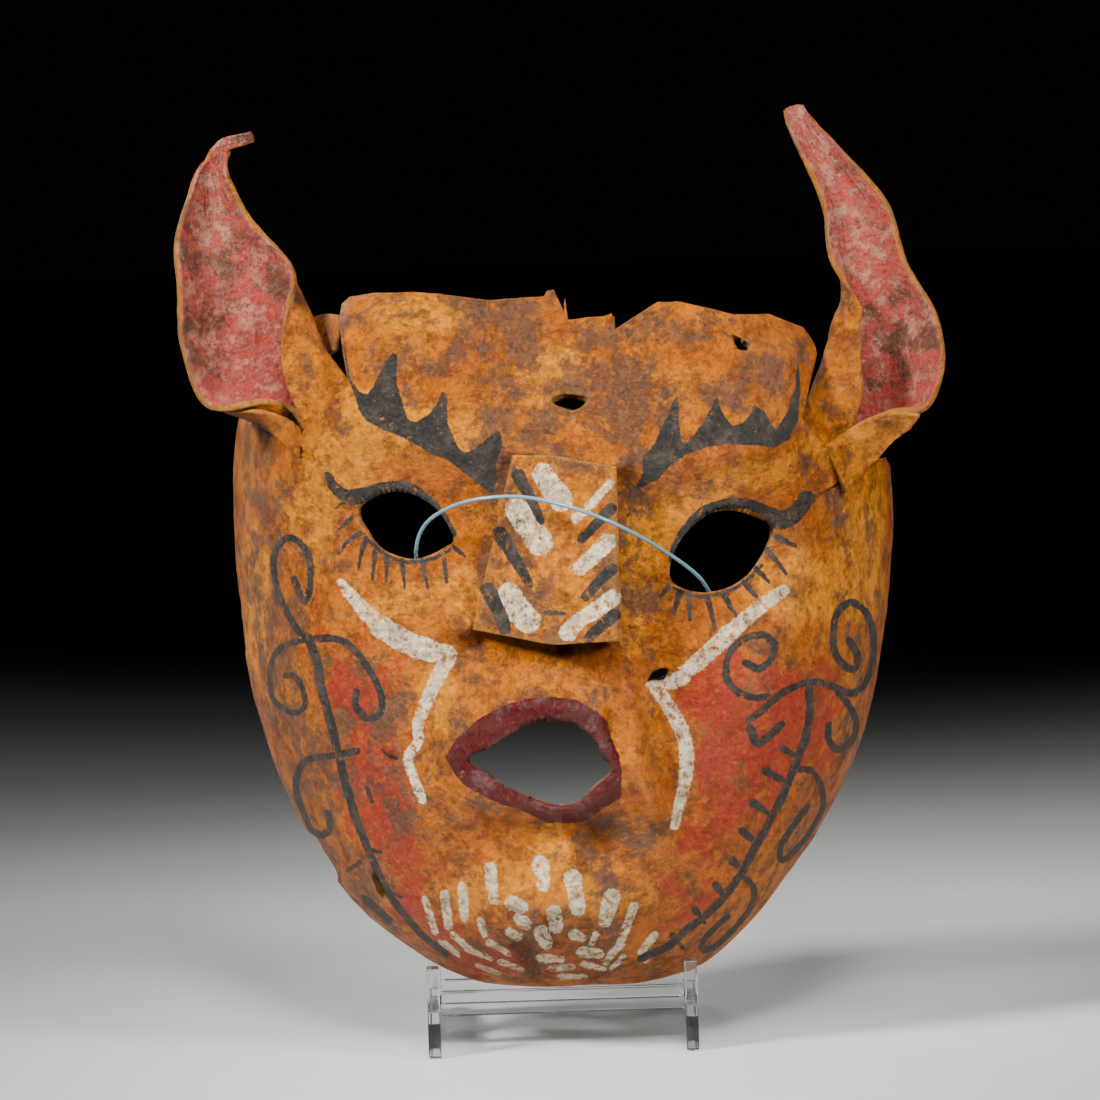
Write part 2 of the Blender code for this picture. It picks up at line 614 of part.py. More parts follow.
def line_knot(look):
    """The knot that closes the line into a loop, a small lump between its ends."""
    ends = line_points()
    reach = min(np.linalg.norm(e - np.array(KNOT_AT)) for e in (ends[0], ends[-1])) - GAP
    rows = []
    for k in range(7):
        a = math.pi * (0.06 + 0.88 * k / 6)
        r = KNOT_WIDE * math.sin(a)
        along = -reach * math.cos(a) / math.cos(math.pi * 0.06)
        rows.append(
            [
                (
                    KNOT_AT[0] + along,
                    KNOT_AT[1] + r * math.cos(2 * math.pi * i / 8),
                    KNOT_AT[2] + r * math.sin(2 * math.pi * i / 8),
                )
                for i in range(8)
            ]
        )
    return lofted("line_knot", rows, look, True)


def plate(name, x, outline, thick, look):
    """A flat plate standing in the Y-Z plane, thick across X."""
    n = len(outline)
    x += ACROSS
    points = [(x - thick / 2, y, z) for y, z in outline] + [(x + thick / 2, y, z) for y, z in outline]
    faces = [tuple(range(n)), tuple(range(2 * n - 1, n - 1, -1))]
    faces += [(i, n + i, n + (i + 1) % n, (i + 1) % n) for i in range(n)]
    return solid(name, np.array(points) * MM, faces, look)


def side_outline():
    """Lip, foot and back rest of a side plate."""
    lean = math.tan(math.radians(BACK_LEAN))
    rise = BACK_HIGH - FOOT_HIGH
    y = STAND_Y
    return [
        (y, 0.0),
        (y + FOOT_LONG, 0.0),
        (y + FOOT_LONG, FOOT_HIGH * 0.6),
        (y + BACK_NEAR + BACK_WIDE + 6.0, FOOT_HIGH),
        (y + BACK_NEAR + BACK_WIDE + lean * rise, BACK_HIGH),
        (y + BACK_NEAR + lean * rise, BACK_HIGH),
        (y + BACK_NEAR, FOOT_HIGH),
        (y + LIP_DEEP, FOOT_HIGH),
        (y + LIP_DEEP, LIP_HIGH),
        (y, LIP_HIGH),
    ]


def bar(name, y, top, look):
    """A bar across between the side plates."""
    left = PLATE_LEFT_X + PLATE / 2 + GAP
    right = PLATE_RIGHT_X - PLATE / 2 - GAP
    outline = [
        (y - PLATE / 2, top - REST_HIGH),
        (y + PLATE / 2, top - REST_HIGH),
        (y + PLATE / 2, top),
        (y - PLATE / 2, top),
    ]
    return plate(name, (left + right) / 2, outline, right - left, look)


def main():
    for ob in list(bpy.data.objects):
        bpy.data.objects.remove(ob)
    hide = material("painted_hide", (0.56, 0.27, 0.07), 0.55)
    ear_hide = material("ear_hide", (0.42, 0.13, 0.11), 0.7)
    nose_hide = material("nose_hide", (0.5, 0.25, 0.08), 0.55)
    line_look = material("clear_line", (0.75, 0.85, 0.9), 0.15, 0.6)
    acrylic = material("clear_acrylic", (0.92, 0.95, 0.96), 0.05, 0.35)
    shell = mask_shell(hide)
    tree = hide_tree(shell)
    sheet("ear_left", LEFT_EAR, 2, 2, EAR_HIDE, ear_hide)
    sheet("ear_right", RIGHT_EAR, 2, 2, EAR_HIDE, ear_hide)
    nose_piece(tree, nose_hide)
    hanging_line(line_look)
    line_knot(line_look)
    plate("stand_left", PLATE_LEFT_X, side_outline(), PLATE, acrylic)
    plate("stand_right", PLATE_RIGHT_X, side_outline(), PLATE, acrylic)
    bar("stand_rest", STAND_Y + REST_Y, REST_TOP, acrylic)
    bar("stand_tie", STAND_Y + FOOT_LONG - TIE_IN, TIE_TOP, acrylic)


main()
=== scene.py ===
"""The looks of the painted leather cat dance mask: hide, paint, clear line, acrylic stand and stage."""

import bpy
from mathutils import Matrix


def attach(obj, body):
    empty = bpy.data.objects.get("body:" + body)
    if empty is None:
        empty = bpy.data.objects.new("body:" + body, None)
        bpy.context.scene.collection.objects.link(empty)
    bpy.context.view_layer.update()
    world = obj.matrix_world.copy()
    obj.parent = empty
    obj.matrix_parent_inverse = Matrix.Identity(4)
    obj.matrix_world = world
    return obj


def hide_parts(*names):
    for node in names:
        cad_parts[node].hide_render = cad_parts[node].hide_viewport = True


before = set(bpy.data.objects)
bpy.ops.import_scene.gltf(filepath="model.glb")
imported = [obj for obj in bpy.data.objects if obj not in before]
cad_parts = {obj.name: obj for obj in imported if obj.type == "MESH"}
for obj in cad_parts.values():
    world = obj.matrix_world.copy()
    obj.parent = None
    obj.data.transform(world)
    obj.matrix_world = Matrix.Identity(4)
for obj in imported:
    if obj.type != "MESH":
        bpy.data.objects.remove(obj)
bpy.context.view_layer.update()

import math

import bpy
import numpy as np
from mathutils import Matrix, Vector, noise
from mathutils.bvhtree import BVHTree

bl_info = {
    "name": "Cat dance mask",
    "version": (1, 0, 0),
    "blender": (4, 5, 0),
    "location": "3D View > Sidebar > Cat mask",
    "description": "Dresses the cat dance mask: painted hide, ears, nose, line, stand and stage",
    "category": "Object",
}

# Shape of the hide, in millimetres in the mask's own frame: across, up, depth.
MM = 0.001
GAP = 0.3
HIDE = 2.6
LEAN_DEG = 5.5
FACE_DEPTH = -35.0
MIDDLE = (-2.4, 131.2)
# Where the mask's own frame lies in the shared one.
STAND_Y = -31.15
ACROSS = 0.3
# Stand-ins for no length and for no end.
TINY = 1e-9
HUGE = 1e9
# The bowl of the face as seen from the front, from the right cheek up and round.
# The points over the forehead are where the bowl would close if it weren't open.
BOWL_LINE = [
    (99.9, 124.8), (103.1, 146.3), (104.9, 163.7), (104.5, 180.9), (102.1, 202.9), (89.7, 228.3),
    (61.5, 254.2), (4.0, 266.3), (-50.8, 262.4), (-81.1, 244.6), (-99.0, 221.7), (-105.0, 199.4),
    (-106.8, 172.0), (-105.7, 146.9), (-102.9, 118.7), (-95.9, 93.4), (-87.7, 73.8), (-73.7, 50.9),
    (-54.9, 34.0), (-35.5, 23.7), (-16.2, 20.6), (1.9, 20.3), (20.4, 21.0), (37.1, 24.9), (53.1, 37.2),
    (66.7, 52.7), (79.8, 71.0), (93.1, 96.9),
]
# Bearing from the right cheek, depth of the bowl, squareness, and how far the edge turns under.
BOWL = [
    (0, 84, 2.5, 93), (30, 80, 3.0, 93), (50, 68, 5.5, 90), (70, 66, 4.5, 90), (92, 72, 3.2, 90),
    (112, 66, 4.5, 90), (130, 68, 5.5, 90), (150, 80, 3.0, 93), (180, 84, 2.5, 93), (225, 74, 2.6, 96),
    (270, 58, 2.9, 100), (315, 74, 2.6, 96),
]
# The cut edge over the forehead, from the right shoulder to the left one.
TOP_EDGE = [
    (102.8, 185.7), (86.6, 178.1), (82.5, 187.9), (76.8, 194.9), (74.4, 198.2), (77.5, 208.7),
    (80.3, 218.6), (79.8, 221.7), (76.2, 227.2), (65.4, 231.3), (53.9, 231.3), (37.4, 235.9),
    (30.6, 236.1), (16.1, 233.1), (16.2, 227.5), (13.6, 232.3), (8.2, 232.1), (5.1, 231.6),
    (2.3, 231.4), (1.1, 233.9), (1.6, 238.6), (-1.8, 241.2), (-4.0, 240.9), (-5.0, 239.1),
    (-22.5, 238.4), (-44.9, 241.6), (-58.4, 242.0), (-65.6, 240.7), (-68.5, 238.6), (-69.6, 233.3),
    (-68.6, 223.9), (-66.8, 212.6), (-72.2, 209.3), (-76.7, 204.5), (-81.6, 199.3), (-84.5, 195.3),
    (-102.9, 206.2),
]
# The torn edge low on the left cheek.
TEAR = [
    (-89.5, 77.0), (-87.4, 73.5), (-85.9, 71.9), (-82.8, 70.2), (-81.1, 66.1), (-77.5, 60.7),
    (-76.6, 58.5),
]
LEFT_EYE = [
    (-65.5, 173.2), (-58.2, 178.2), (-50.3, 178.9), (-42.6, 174.9), (-38.4, 170.1), (-35.5, 163.8),
    (-37.7, 161.7), (-43.1, 159.0), (-49.4, 158.0), (-58.1, 161.4), (-62.9, 166.8),
]
RIGHT_EYE = [
    (32.2, 148.5), (32.7, 156.3), (37.7, 164.0), (45.3, 169.4), (53.5, 169.7), (61.8, 166.3),
    (64.6, 163.8), (62.8, 157.9), (56.6, 150.2), (49.3, 145.8), (40.2, 144.8),
]
MOUTH = [
    (-33.9, 94.9), (-27.2, 98.2), (-20.2, 102.3), (-13.6, 105.2), (-6.7, 106.0), (0.2, 104.5),
    (6.6, 99.6), (9.5, 93.6), (11.9, 90.1), (6.7, 85.2), (0.6, 79.8), (-6.3, 79.1), (-13.7, 81.5),
    (-21.1, 84.8), (-27.8, 90.1),
]
BROW_POCKET = [
    (-3.9, 205.6), (-1.0, 207.4), (2.2, 207.9), (7.1, 206.5), (6.4, 204.4), (3.6, 202.6), (-0.5, 203.6),
]
FOREHEAD_HOLE = [(53.4, 226.0), (55.5, 224.1), (58.9, 221.8), (57.9, 219.9), (54.8, 220.3)]
CHEEK_HOLE = [(23.4, 116.9), (25.0, 119.7), (27.9, 121.4), (30.4, 121.4), (29.7, 118.9), (27.4, 116.8)]
LOW_SLOT = [(-65.4, 58.4), (-63.5, 58.0), (-60.9, 51.7), (-62.8, 51.4)]
OPENINGS = (LEFT_EYE, RIGHT_EYE, MOUTH, BROW_POCKET, FOREHEAD_HOLE, CHEEK_HOLE, LOW_SLOT)
# Swellings and hollows: across, up, half width, half height, turn in degrees, rise.
SWELLINGS = [
    (-42.6, 224.7, 24, 18, 0, 3.5), (47.9, 219.6, 26, 18, 0, 4.0), (9.5, 221.5, 9, 24, -5, -3.5),
    (-45.1, 196.3, 26, 7, -20, 4.0), (46.9, 188.4, 28, 7, 10, 4.5), (0.5, 195.5, 19, 11, -5, 5.5),
    (-50.6, 169.6, 24, 15, 0, -7.0), (48.1, 158.3, 24, 17, 0, -7.0), (-3.8, 156.2, 13, 36, 0, 7.0),
    (-8.5, 116.3, 26, 13, 0, 8.0), (-9.3, 92.3, 36, 24, 0, 9.0), (-34.2, 136.2, 4.5, 7, 0, 4.5),
    (-70.6, 130.2, 26, 32, 0, 4.0), (66.8, 124.3, 26, 32, 0, 4.0), (-11.6, 69.5, 24, 6, 0, -4.5),
    (-10.7, 48.6, 32, 16, 0, 7.0), (7.1, 66.4, 7, 7, 0, -3.0), (-3.9, 65.5, 5, 9, 15, 2.5),
]
# The raised lip: its rise, how far outside the mouth it runs, its half width, and its groove.
LIP_RISE = 3.2
LIP_OUT = 2.5
LIP_WIDE = 4.5
GROOVE_DEEP = 1.5
GROOVE_WIDE = 4.0
# Folds: points along, half width, rise.
FOLDS = [
    ([(12.7, 126.0), (18.0, 114.9), (19.0, 105.5), (20.4, 91.4), (25.2, 76.5)], 4.5, 4.5),
    ([(24.9, 114.7), (25.4, 102.1), (27.2, 88.0)], 4.0, -3.5),
    ([(-34.1, 129.0), (-42.4, 113.7), (-47.1, 93.5)], 5.0, -2.5),
    ([(-18.1, 191.1), (-1.5, 189.9), (17.7, 186.2)], 5.0, 4.5),
]
# The ears' hide, the share of their length over which it is even, and how much thinner the tip is.
EAR_HIDE = 2.2
EAR_EVEN = 0.7
EAR_THINNER = 0.45
# Ears: rows from the root inside the mask to the tip. Each row runs from the free edge through the
# hollow of the ear to the rolled side, and round it to the raw edge that lies in front.
LEFT_EAR = [
    [(-78.3, 196.1, -13.5), (-75.2, 192.2, -6.5), (-68.6, 195.8, -11.0), (-59.5, 204.9, -22.0),
     (-66.9, 198.2, -24.8), (-74.0, 192.8, -19.5)],
    [(-86.1, 206.3, -12.0), (-83.1, 201.2, -4.5), (-75.5, 205.0, -5.0), (-67.1, 213.2, -17.0),
     (-74.1, 208.4, -20.0), (-81.5, 202.4, -16.0)],
    [(-94.1, 209.1, -18.0), (-93.0, 204.3, -10.5), (-85.1, 216.9, -4.0), (-73.4, 222.2, -12.5),
     (-80.6, 219.3, -17.0), (-87.3, 217.6, -17.0)],
    [(-111.6, 208.4, -14.0), (-106.5, 213.2, -4.0), (-95.7, 226.3, 0.0), (-77.8, 230.4, -7.0),
     (-82.5, 229.0, -12.0), (-87.6, 228.3, -13.0)],
    [(-119.2, 227.1, -12.0), (-111.2, 233.1, -3.0), (-100.0, 239.6, 0.0), (-81.0, 238.7, -5.0),
     (-82.9, 237.8, -10.0), (-86.4, 236.7, -11.5)],
    [(-119.6, 244.9, -12.0), (-112.2, 248.7, -3.0), (-100.9, 251.8, -1.0), (-88.7, 250.2, -4.0),
     (-85.9, 250.4, -7.0), (-84.0, 250.7, -10.0)],
    [(-120.0, 259.9, -10.0), (-114.3, 263.5, -4.0), (-108.0, 265.2, -2.0), (-101.7, 266.2, -3.0),
     (-98.6, 266.4, -5.0), (-96.7, 265.7, -7.0)],
    [(-114.8, 277.9, -8.0), (-112.2, 278.4, -5.5), (-109.7, 279.0, -4.8), (-107.2, 279.2, -5.0),
     (-105.0, 279.5, -5.8), (-103.1, 279.4, -7.0)],
    [(-109.2, 286.8, -7.0), (-107.9, 286.9, -6.6), (-106.7, 287.0, -6.4), (-105.4, 287.1, -6.5),
     (-104.2, 287.2, -6.8), (-103.2, 287.4, -7.2)],
    [(-104.9, 291.6, -7.5), (-104.3, 291.2, -7.5), (-103.7, 290.7, -7.5), (-103.1, 290.2, -7.6),
     (-102.5, 289.7, -7.7), (-101.9, 289.2, -7.8)],
    [(-95.5, 293.5, -11.5), (-95.4, 293.1, -11.5), (-95.2, 292.6, -11.5), (-95.1, 292.1, -11.5),
     (-94.9, 291.6, -11.5), (-94.8, 291.2, -11.5)],
]
RIGHT_EAR = [
    [(81.6, 179.8, -2.5), (80.6, 177.9, 3.5), (77.1, 186.2, -3.0), (70.5, 194.5, -13.0),
     (74.7, 188.1, -13.6), (78.9, 181.1, -6.3)],
    [(93.5, 188.2, -7.0), (90.9, 185.1, 1.0), (85.4, 189.1, 2.0), (76.3, 200.3, -9.0),
     (81.2, 195.4, -10.8), (88.6, 191.5, -7.0)],
    [(101.9, 199.2, -12.0), (102.7, 192.3, -3.0), (95.2, 203.1, 3.0), (80.0, 208.6, -7.5),
     (86.5, 206.8, -13.0), (93.7, 204.7, -15.0)],
    [(114.5, 200.6, -12.0), (113.0, 203.8, -6.0), (103.9, 212.2, 0.0), (85.1, 220.3, -7.5),
     (89.1, 219.3, -13.0), (93.8, 218.2, -14.5)],
    [(119.6, 214.2, -13.0), (111.9, 217.6, -6.0), (104.2, 220.0, -1.0), (87.5, 228.4, -6.5),
     (90.3, 227.4, -12.0), (93.7, 226.6, -13.5)],
    [(117.9, 229.9, -12.0), (111.7, 230.7, -5.0), (103.9, 231.6, -1.5), (90.2, 235.2, -5.0),
     (91.5, 234.5, -10.0), (94.0, 233.8, -11.5)],
    [(109.0, 245.8, -10.0), (104.3, 246.0, -5.0), (97.8, 246.2, -3.0), (91.0, 247.7, -4.0),
     (87.8, 248.4, -6.5), (85.7, 249.1, -9.0)],
    [(103.7, 264.5, -9.0), (99.6, 264.3, -5.5), (94.9, 264.4, -4.0), (89.9, 264.6, -4.5),
     (86.5, 264.7, -6.5), (84.3, 264.7, -9.0)],
    [(91.7, 280.8, -7.5), (88.6, 280.9, -5.5), (85.4, 281.0, -4.5), (82.0, 281.1, -5.0),
     (79.2, 281.5, -6.5), (77.6, 281.8, -8.0)],
    [(81.4, 292.4, -5.0), (80.2, 292.1, -4.8), (78.6, 291.8, -4.8), (76.7, 291.6, -5.0),
     (75.1, 291.3, -5.4), (73.6, 291.0, -6.0)],
    [(78.4, 297.1, -4.2), (77.5, 297.2, -4.1), (76.6, 297.2, -4.1), (75.6, 296.9, -4.2),
     (74.4, 296.6, -4.4), (72.8, 295.7, -4.7)],
]
# The nose piece: its left edge, its ridge and its right fold at the top and the bottom.
NOSE_HIDE = 2.6
NOSE_TOP = [(-16.3, 189.1), (-3.8, 188.4), (15.2, 184.7)]
NOSE_BOTTOM = [(-30.4, 135.5), (-5.9, 130.3), (15.1, 130.6)]
NOSE_RISE_TOP = 1.2
NOSE_RISE_BOTTOM = 10.0
NOSE_FALL = 2.5
NOSE_STEPS = 8
# The line that runs out of the left eye, over the nose and in at the right eye.
LINE_THICK = 1.2
LINE_ROUTE = [
    (-4.5, 114.3, -35.0), (-19.5, 116.1, -33.5), (-36.5, 122.2, -25.0), (-45.8, 135.6, -23.5),
    (-48.1, 151.3, -21.5), (-47.5, 158.8, -24.0), (-47.5, 160.4, -30.0), (-46.1, 165.7, -34.5),
    (-42.5, 170.2, -40.0), (-35.8, 173.8, -46.0), (-27.0, 175.9, -51.0), (-14.5, 176.2, -55.0),
    (-2.1, 173.4, -57.0), (10.3, 168.9, -56.5), (22.6, 162.6, -50.0), (32.4, 156.3, -41.0),
    (39.4, 150.8, -33.0), (42.8, 146.6, -26.0), (44.5, 141.3, -20.5), (41.6, 129.8, -23.0),
    (30.6, 119.2, -25.5), (14.9, 115.0, -31.0), (1.7, 114.1, -35.0),
]
LINE_STEPS = 3
# The knot: its middle, its turns and their reach, its strand, and its steps and sides.
KNOT_AT = (-1.4, 114.2, -35.0)
KNOT_TURNS = 3.0
KNOT_WIDE = 1.15
KNOT_STRAND = 0.42 * LINE_THICK
KNOT_STEPS = 72
KNOT_SIDES = 10
# The stand: two side plates joined by a bar under the chin and a bar at the back.
PLATE = 4.0
PLATE_LEFT_X = -46.9
PLATE_RIGHT_X = 34.7
LIP_DEEP = 8.2
LIP_HIGH = 28.3
FOOT_HIGH = 13.5
FOOT_LONG = 104.0
BACK_NEAR = 41.0
BACK_WIDE = 10.0
BACK_HIGH = 72.0
BACK_LEAN = 12.0
REST_Y = 25.0
REST_TOP = 17.4
REST_HIGH = 7.8
TIE_IN = 10.0
TIE_TOP = 11.0
# The reference view: what its middle sees, its width and its roll.
VIEW_X = -5.6
VIEW_UP = 159.4
VIEW_DEPTH = -30.0
VIEW_WIDE = 343.75
VIEW_ROLL_DEG = 1.8
SENSOR = 36.0
# The fine grid of the face, the turn at which its openings stop, and the size of its swell.
FINE_COLUMNS = 372
FINE_ROWS = 116
FRONT_TURN = 1.45
FACE_SWELL = 16.0
# Its directions: how far apart they are still alike, how they blend, the share of rows that they
# have in common, and how near to a corner of the cut edge or to each other they may lie.
ALIKE_DEG = 24.0
BLEND_DEG = 14.0
MIDDLE_ROWS = 0.6
CORNER_CLEAR_DEG = 0.3
SAME_DEG = 0.05
# Where the rounded strips along a cut edge have their points, as shares of the thickness.
RIM_SHARES = (0.24, 0.76)
# A depth well in front of the mask.
AHEAD = -150.0
# Steps between the points of the ears and of the folds at their roots.
EAR_STEPS = 12
FOLD_STEPS = 8
# Steps across and down between the points of the nose, its puff between folds and its swell.
NOSE_SPAN = 6
NOSE_DOWN = 8
NOSE_PUFF = 0.7
NOSE_SWELL = 9.0
# Brush strokes: steps between their points, how far they are looked for, and the value of bare
# hide, which is the distance of a stroke too far off to show.
STROKE_STEPS = 5
STROKE_REACH = 7.0
FAR = 9.0
# Kinds of noise in the hide and its paint: specks to the metre, detail, roughness.
PAINT_FLAKES = (900.0, 5.0, 0.7)
PAINT_SWAY = (190.0, 3.0, 0.6)
PAINT_RUBS = (420.0, 8.0, 0.75)
GRAIN = (330.0, 8.0, 0.74)
RIDGES = (110.0, 6.0, 0.6)
CRACKS = (170.0, 9.0, 0.7)
FIBRES = (900.0, 4.0, 0.6)
BLOTS = (80.0, 10.0, 0.8)
EAR_FUZZ = (170.0, 9.0, 0.82)
EAR_PITS = (430.0, 6.0, 0.7)
PEBBLES = 620.0
FIBRE_STRETCH = (1.0, 1.0, 0.16)
# Tones of the hide: name, kind of noise, and the noise at which each is nothing and full.
TONES = [
    ("Cloud", (46.0, 7.0, 0.66), 0.44, 0.57),
    ("Mottle", (135.0, 9.0, 0.76), 0.47, 0.58),
    ("Pits", (520.0, 8.0, 0.78), 0.43, 0.33),
    ("Flecks", (360.0, 7.0, 0.76), 0.54, 0.64),
]
# Lights, in metres: name, place, what they are turned to, size, share of the main power, spread.
FACE_AIM = (0.0, 0.0, 0.17)
FLOOR_AIM = (0.0, -0.2, 0.0)
LIGHTS = [
    ("left", (-1.05, -0.8, 1.05), FACE_AIM, (0.35, 0.35), 1.16, 28.0),
    ("right", (1.1, -0.9, 0.8), FACE_AIM, (0.5, 0.5), 0.74, 28.0),
    ("above", (0.1, -1.1, 1.1), FACE_AIM, (0.3, 0.3), 0.28, 24.0),
    ("table", (0.0, -0.45, 0.55), FLOOR_AIM, (0.4, 0.2), 0.45, 58.0),
    ("back", (-0.7, 1.0, 0.8), FACE_AIM, (0.5, 0.5), 0.25, 36.0),
]
LIGHT_COLOUR = (1.0, 0.99, 0.97)
ROOM_COLOUR = (0.0015, 0.0015, 0.0016, 1.0)
# Creases and small ridges of the hide: points along, half width, rise.
CREASES = [
    ([(-37.8, 220.4), (-38.9, 216.1), (-39.3, 211.7)], 0.7, -0.7),
    ([(-10.8, 43.9), (-9.0, 40.7), (-7.6, 37.5)], 0.7, -0.7),
    ([(-24.8, 47.1), (-21.0, 46.4), (-16.7, 46.6)], 0.7, -0.5),
    ([(-19.2, 35.4), (-16.6, 29.7), (-13.0, 22.7)], 1.5, -2.4),
    ([(-23.4, 41.1), (-20.5, 34.8), (-18.5, 27.9)], 2.2, 0.9),
    ([(-10.0, 40.7), (-12.0, 34.5), (-11.0, 26.7)], 2.4, 1.0),
    ([(-6.1, 45.3), (-9.9, 43.2), (-12.5, 39.6), (-10.7, 36.4), (-6.4, 35.6)], 1.1, -1.0),
    ([(-2.0, 34.8), (-6.5, 31.2), (-10.4, 25.7)], 1.0, -0.8),
    ([(-57.3, 96.0), (-62.5, 100.5), (-68.3, 106.3)], 0.8, -0.8),
    ([(-4.5, 204.4), (-2.2, 207.7), (1.0, 209.5), (5.3, 209.7), (8.4, 206.8)], 1.1, 1.3),
    ([(-3.7, 200.6), (1.3, 199.5), (7.0, 201.2)], 1.3, 1.0),
    ([(-33.9, 74.0), (-32.3, 66.4), (-30.7, 58.9)], 0.9, -0.5),
    ([(-28.3, 74.4), (-26.1, 65.6), (-24.5, 56.2)], 0.9, -0.6),
    ([(-22.1, 72.4), (-20.5, 62.9), (-19.6, 54.2)], 0.9, -0.5),
    ([(-15.4, 68.4), (-14.0, 60.2), (-13.0, 52.7)], 0.9, -0.5),
    ([(-37.9, 78.5), (-39.7, 69.8), (-38.4, 61.0)], 1.0, -0.4),
    ([(4.1, 229.4), (2.9, 221.0), (3.5, 211.0)], 1.4, -0.9),
    ([(-6.5, 232.0), (-4.8, 225.0), (-5.1, 217.2)], 1.2, 0.6),
    ([(9.6, 226.1), (8.1, 216.8), (9.7, 208.3)], 1.4, -0.6),
    ([(21.2, 218.0), (18.3, 205.5), (19.2, 193.0)], 1.6, -0.7),
    ([(41.6, 229.2), (44.4, 219.7), (41.5, 207.3)], 1.8, 0.6),
    ([(-33.9, 205.6), (-30.6, 199.3), (-26.5, 192.6)], 1.5, -0.6),
    ([(-20.3, 191.1), (-11.5, 190.2), (1.5, 186.4), (17.7, 184.3)], 1.6, 1.2),
    ([(-18.3, 194.2), (-7.7, 192.0), (7.8, 188.4), (17.1, 187.4)], 0.9, -0.9),
    ([(-13.8, 196.9), (-2.6, 194.9), (11.0, 191.4)], 1.3, 0.7),
    ([(-65.6, 239.4), (-66.5, 231.7), (-65.5, 223.8)], 2.2, 0.8),
    ([(18.8, 181.1), (19.2, 161.7), (18.3, 143.0), (15.3, 128.1)], 2.2, -1.8),
    ([(-17.9, 185.4), (-22.2, 169.3), (-27.2, 150.7), (-31.8, 140.8)], 2.0, -1.2),
    ([(35.0, 138.7), (45.3, 129.0), (59.8, 133.0)], 2.0, 0.6),
    ([(-69.2, 145.8), (-53.7, 141.5), (-37.3, 144.8)], 2.0, 0.6),
    ([(-73.4, 200.6), (-76.4, 196.0), (-79.4, 190.5)], 0.7, -0.9),
    ([(-82.6, 196.2), (-82.5, 189.9), (-81.7, 184.3)], 0.7, -0.7),
    ([(73.8, 187.9), (75.8, 182.5), (78.4, 176.5)], 0.8, -1.0),
    ([(13.3, 115.0), (11.8, 105.7), (13.1, 96.9)], 1.6, -1.6),
    ([(-5.2, 73.7), (-2.3, 65.5), (-0.4, 57.9)], 1.4, 1.2),
    ([(4.1, 70.9), (8.3, 65.2), (12.6, 61.3)], 1.8, -1.2),
    ([(-37.1, 132.2), (-34.1, 129.0), (-29.1, 127.3)], 1.2, -0.8),
    ([(21.4, 124.2), (25.0, 120.3), (30.0, 118.9)], 1.2, -0.9),
    ([(26.8, 145.9), (21.8, 136.6), (23.0, 125.7)], 1.8, -0.7),
    ([(39.8, 111.1), (50.1, 92.0), (52.6, 73.1)], 3.0, 0.6),
    ([(-67.2, 139.4), (-62.3, 126.8), (-60.4, 108.0)], 3.0, 0.5),
]
# Folds of hide at the roots of the ears: net, clean yellow, dirt.
LEFT_FOLDS = [
    ([
        [(-109.2, 207.7, -12.6), (-102.3, 206.5, -15.0), (-96.1, 206.0, -17.2), (-90.5, 204.6, -16.6),
         (-86.2, 202.6, -14.8), (-82.8, 199.0, -13.0)],
        [(-106.7, 206.7, -6.0), (-100.2, 204.9, -10.5), (-94.9, 203.5, -13.5), (-90.0, 201.4, -14.8),
         (-86.0, 198.8, -15.5), (-82.9, 196.2, -15.5)],
        [(-102.3, 205.3, 8.0), (-97.4, 202.9, -2.0), (-93.4, 200.6, -7.5), (-89.8, 197.7, -12.0),
         (-86.4, 194.1, -15.4), (-83.4, 191.2, -17.6)],
    ], 0.1, 0.55),
    ([
        [(-80.5, 233.7, 2.0), (-77.0, 235.4, 1.0), (-73.2, 235.9, -2.0), (-69.5, 235.2, -8.0)],
        [(-79.1, 228.3, 1.0), (-76.0, 229.1, -1.0), (-72.8, 229.7, -5.0), (-70.3, 229.3, -12.0)],
        [(-76.8, 221.7, 2.0), (-74.9, 222.2, 0.0), (-73.0, 223.4, -4.0), (-71.4, 224.3, -10.0)],
    ], 0.2, 0.5),
]
RIGHT_FOLDS = [
    ([
        [(81.6, 189.5, -11.6), (89.3, 193.9, -11.8), (94.7, 196.9, -12.6), (100.4, 198.9, -13.4),
         (106.0, 199.3, -13.6), (111.9, 198.2, -13.2)],
        [(84.0, 184.7, -11.4), (89.7, 188.0, -9.6), (94.5, 191.3, -10.0), (99.9, 194.2, -10.6),
         (105.3, 196.6, -11.2), (110.9, 196.7, -12.0)],
        [(86.6, 178.4, -9.6), (89.8, 182.0, -7.0), (94.0, 185.7, -6.8), (99.5, 189.9, -7.6),
         (104.6, 193.1, -9.0), (109.6, 195.2, -11.0)],
        [(88.0, 174.6, -6.0), (90.3, 177.3, -5.0), (93.5, 181.0, -4.4), (98.4, 185.2, -5.0),
         (103.5, 190.4, -7.6), (108.6, 193.9, -10.4)],
    ], 0.9, 0.12),
]
# Small raised spots: across, up, half width, rise.
SPOTS = [
    (-33.2, 136.5, 3.2, 3.0), (-102.3, 157.7, 1.3, 1.0), (76.5, 156.8, 1.6, 1.1),
    (-15.9, 40.0, 1.5, 0.8), (-24.3, 230.6, 1.6, 0.6), (-26.6, 228.8, 1.2, 0.4),
    (14.0, 236.9, 1.4, 0.5), (-57.6, 96.3, 1.1, -1.6), (-88.5, 77.6, 0.9, -1.2),
]
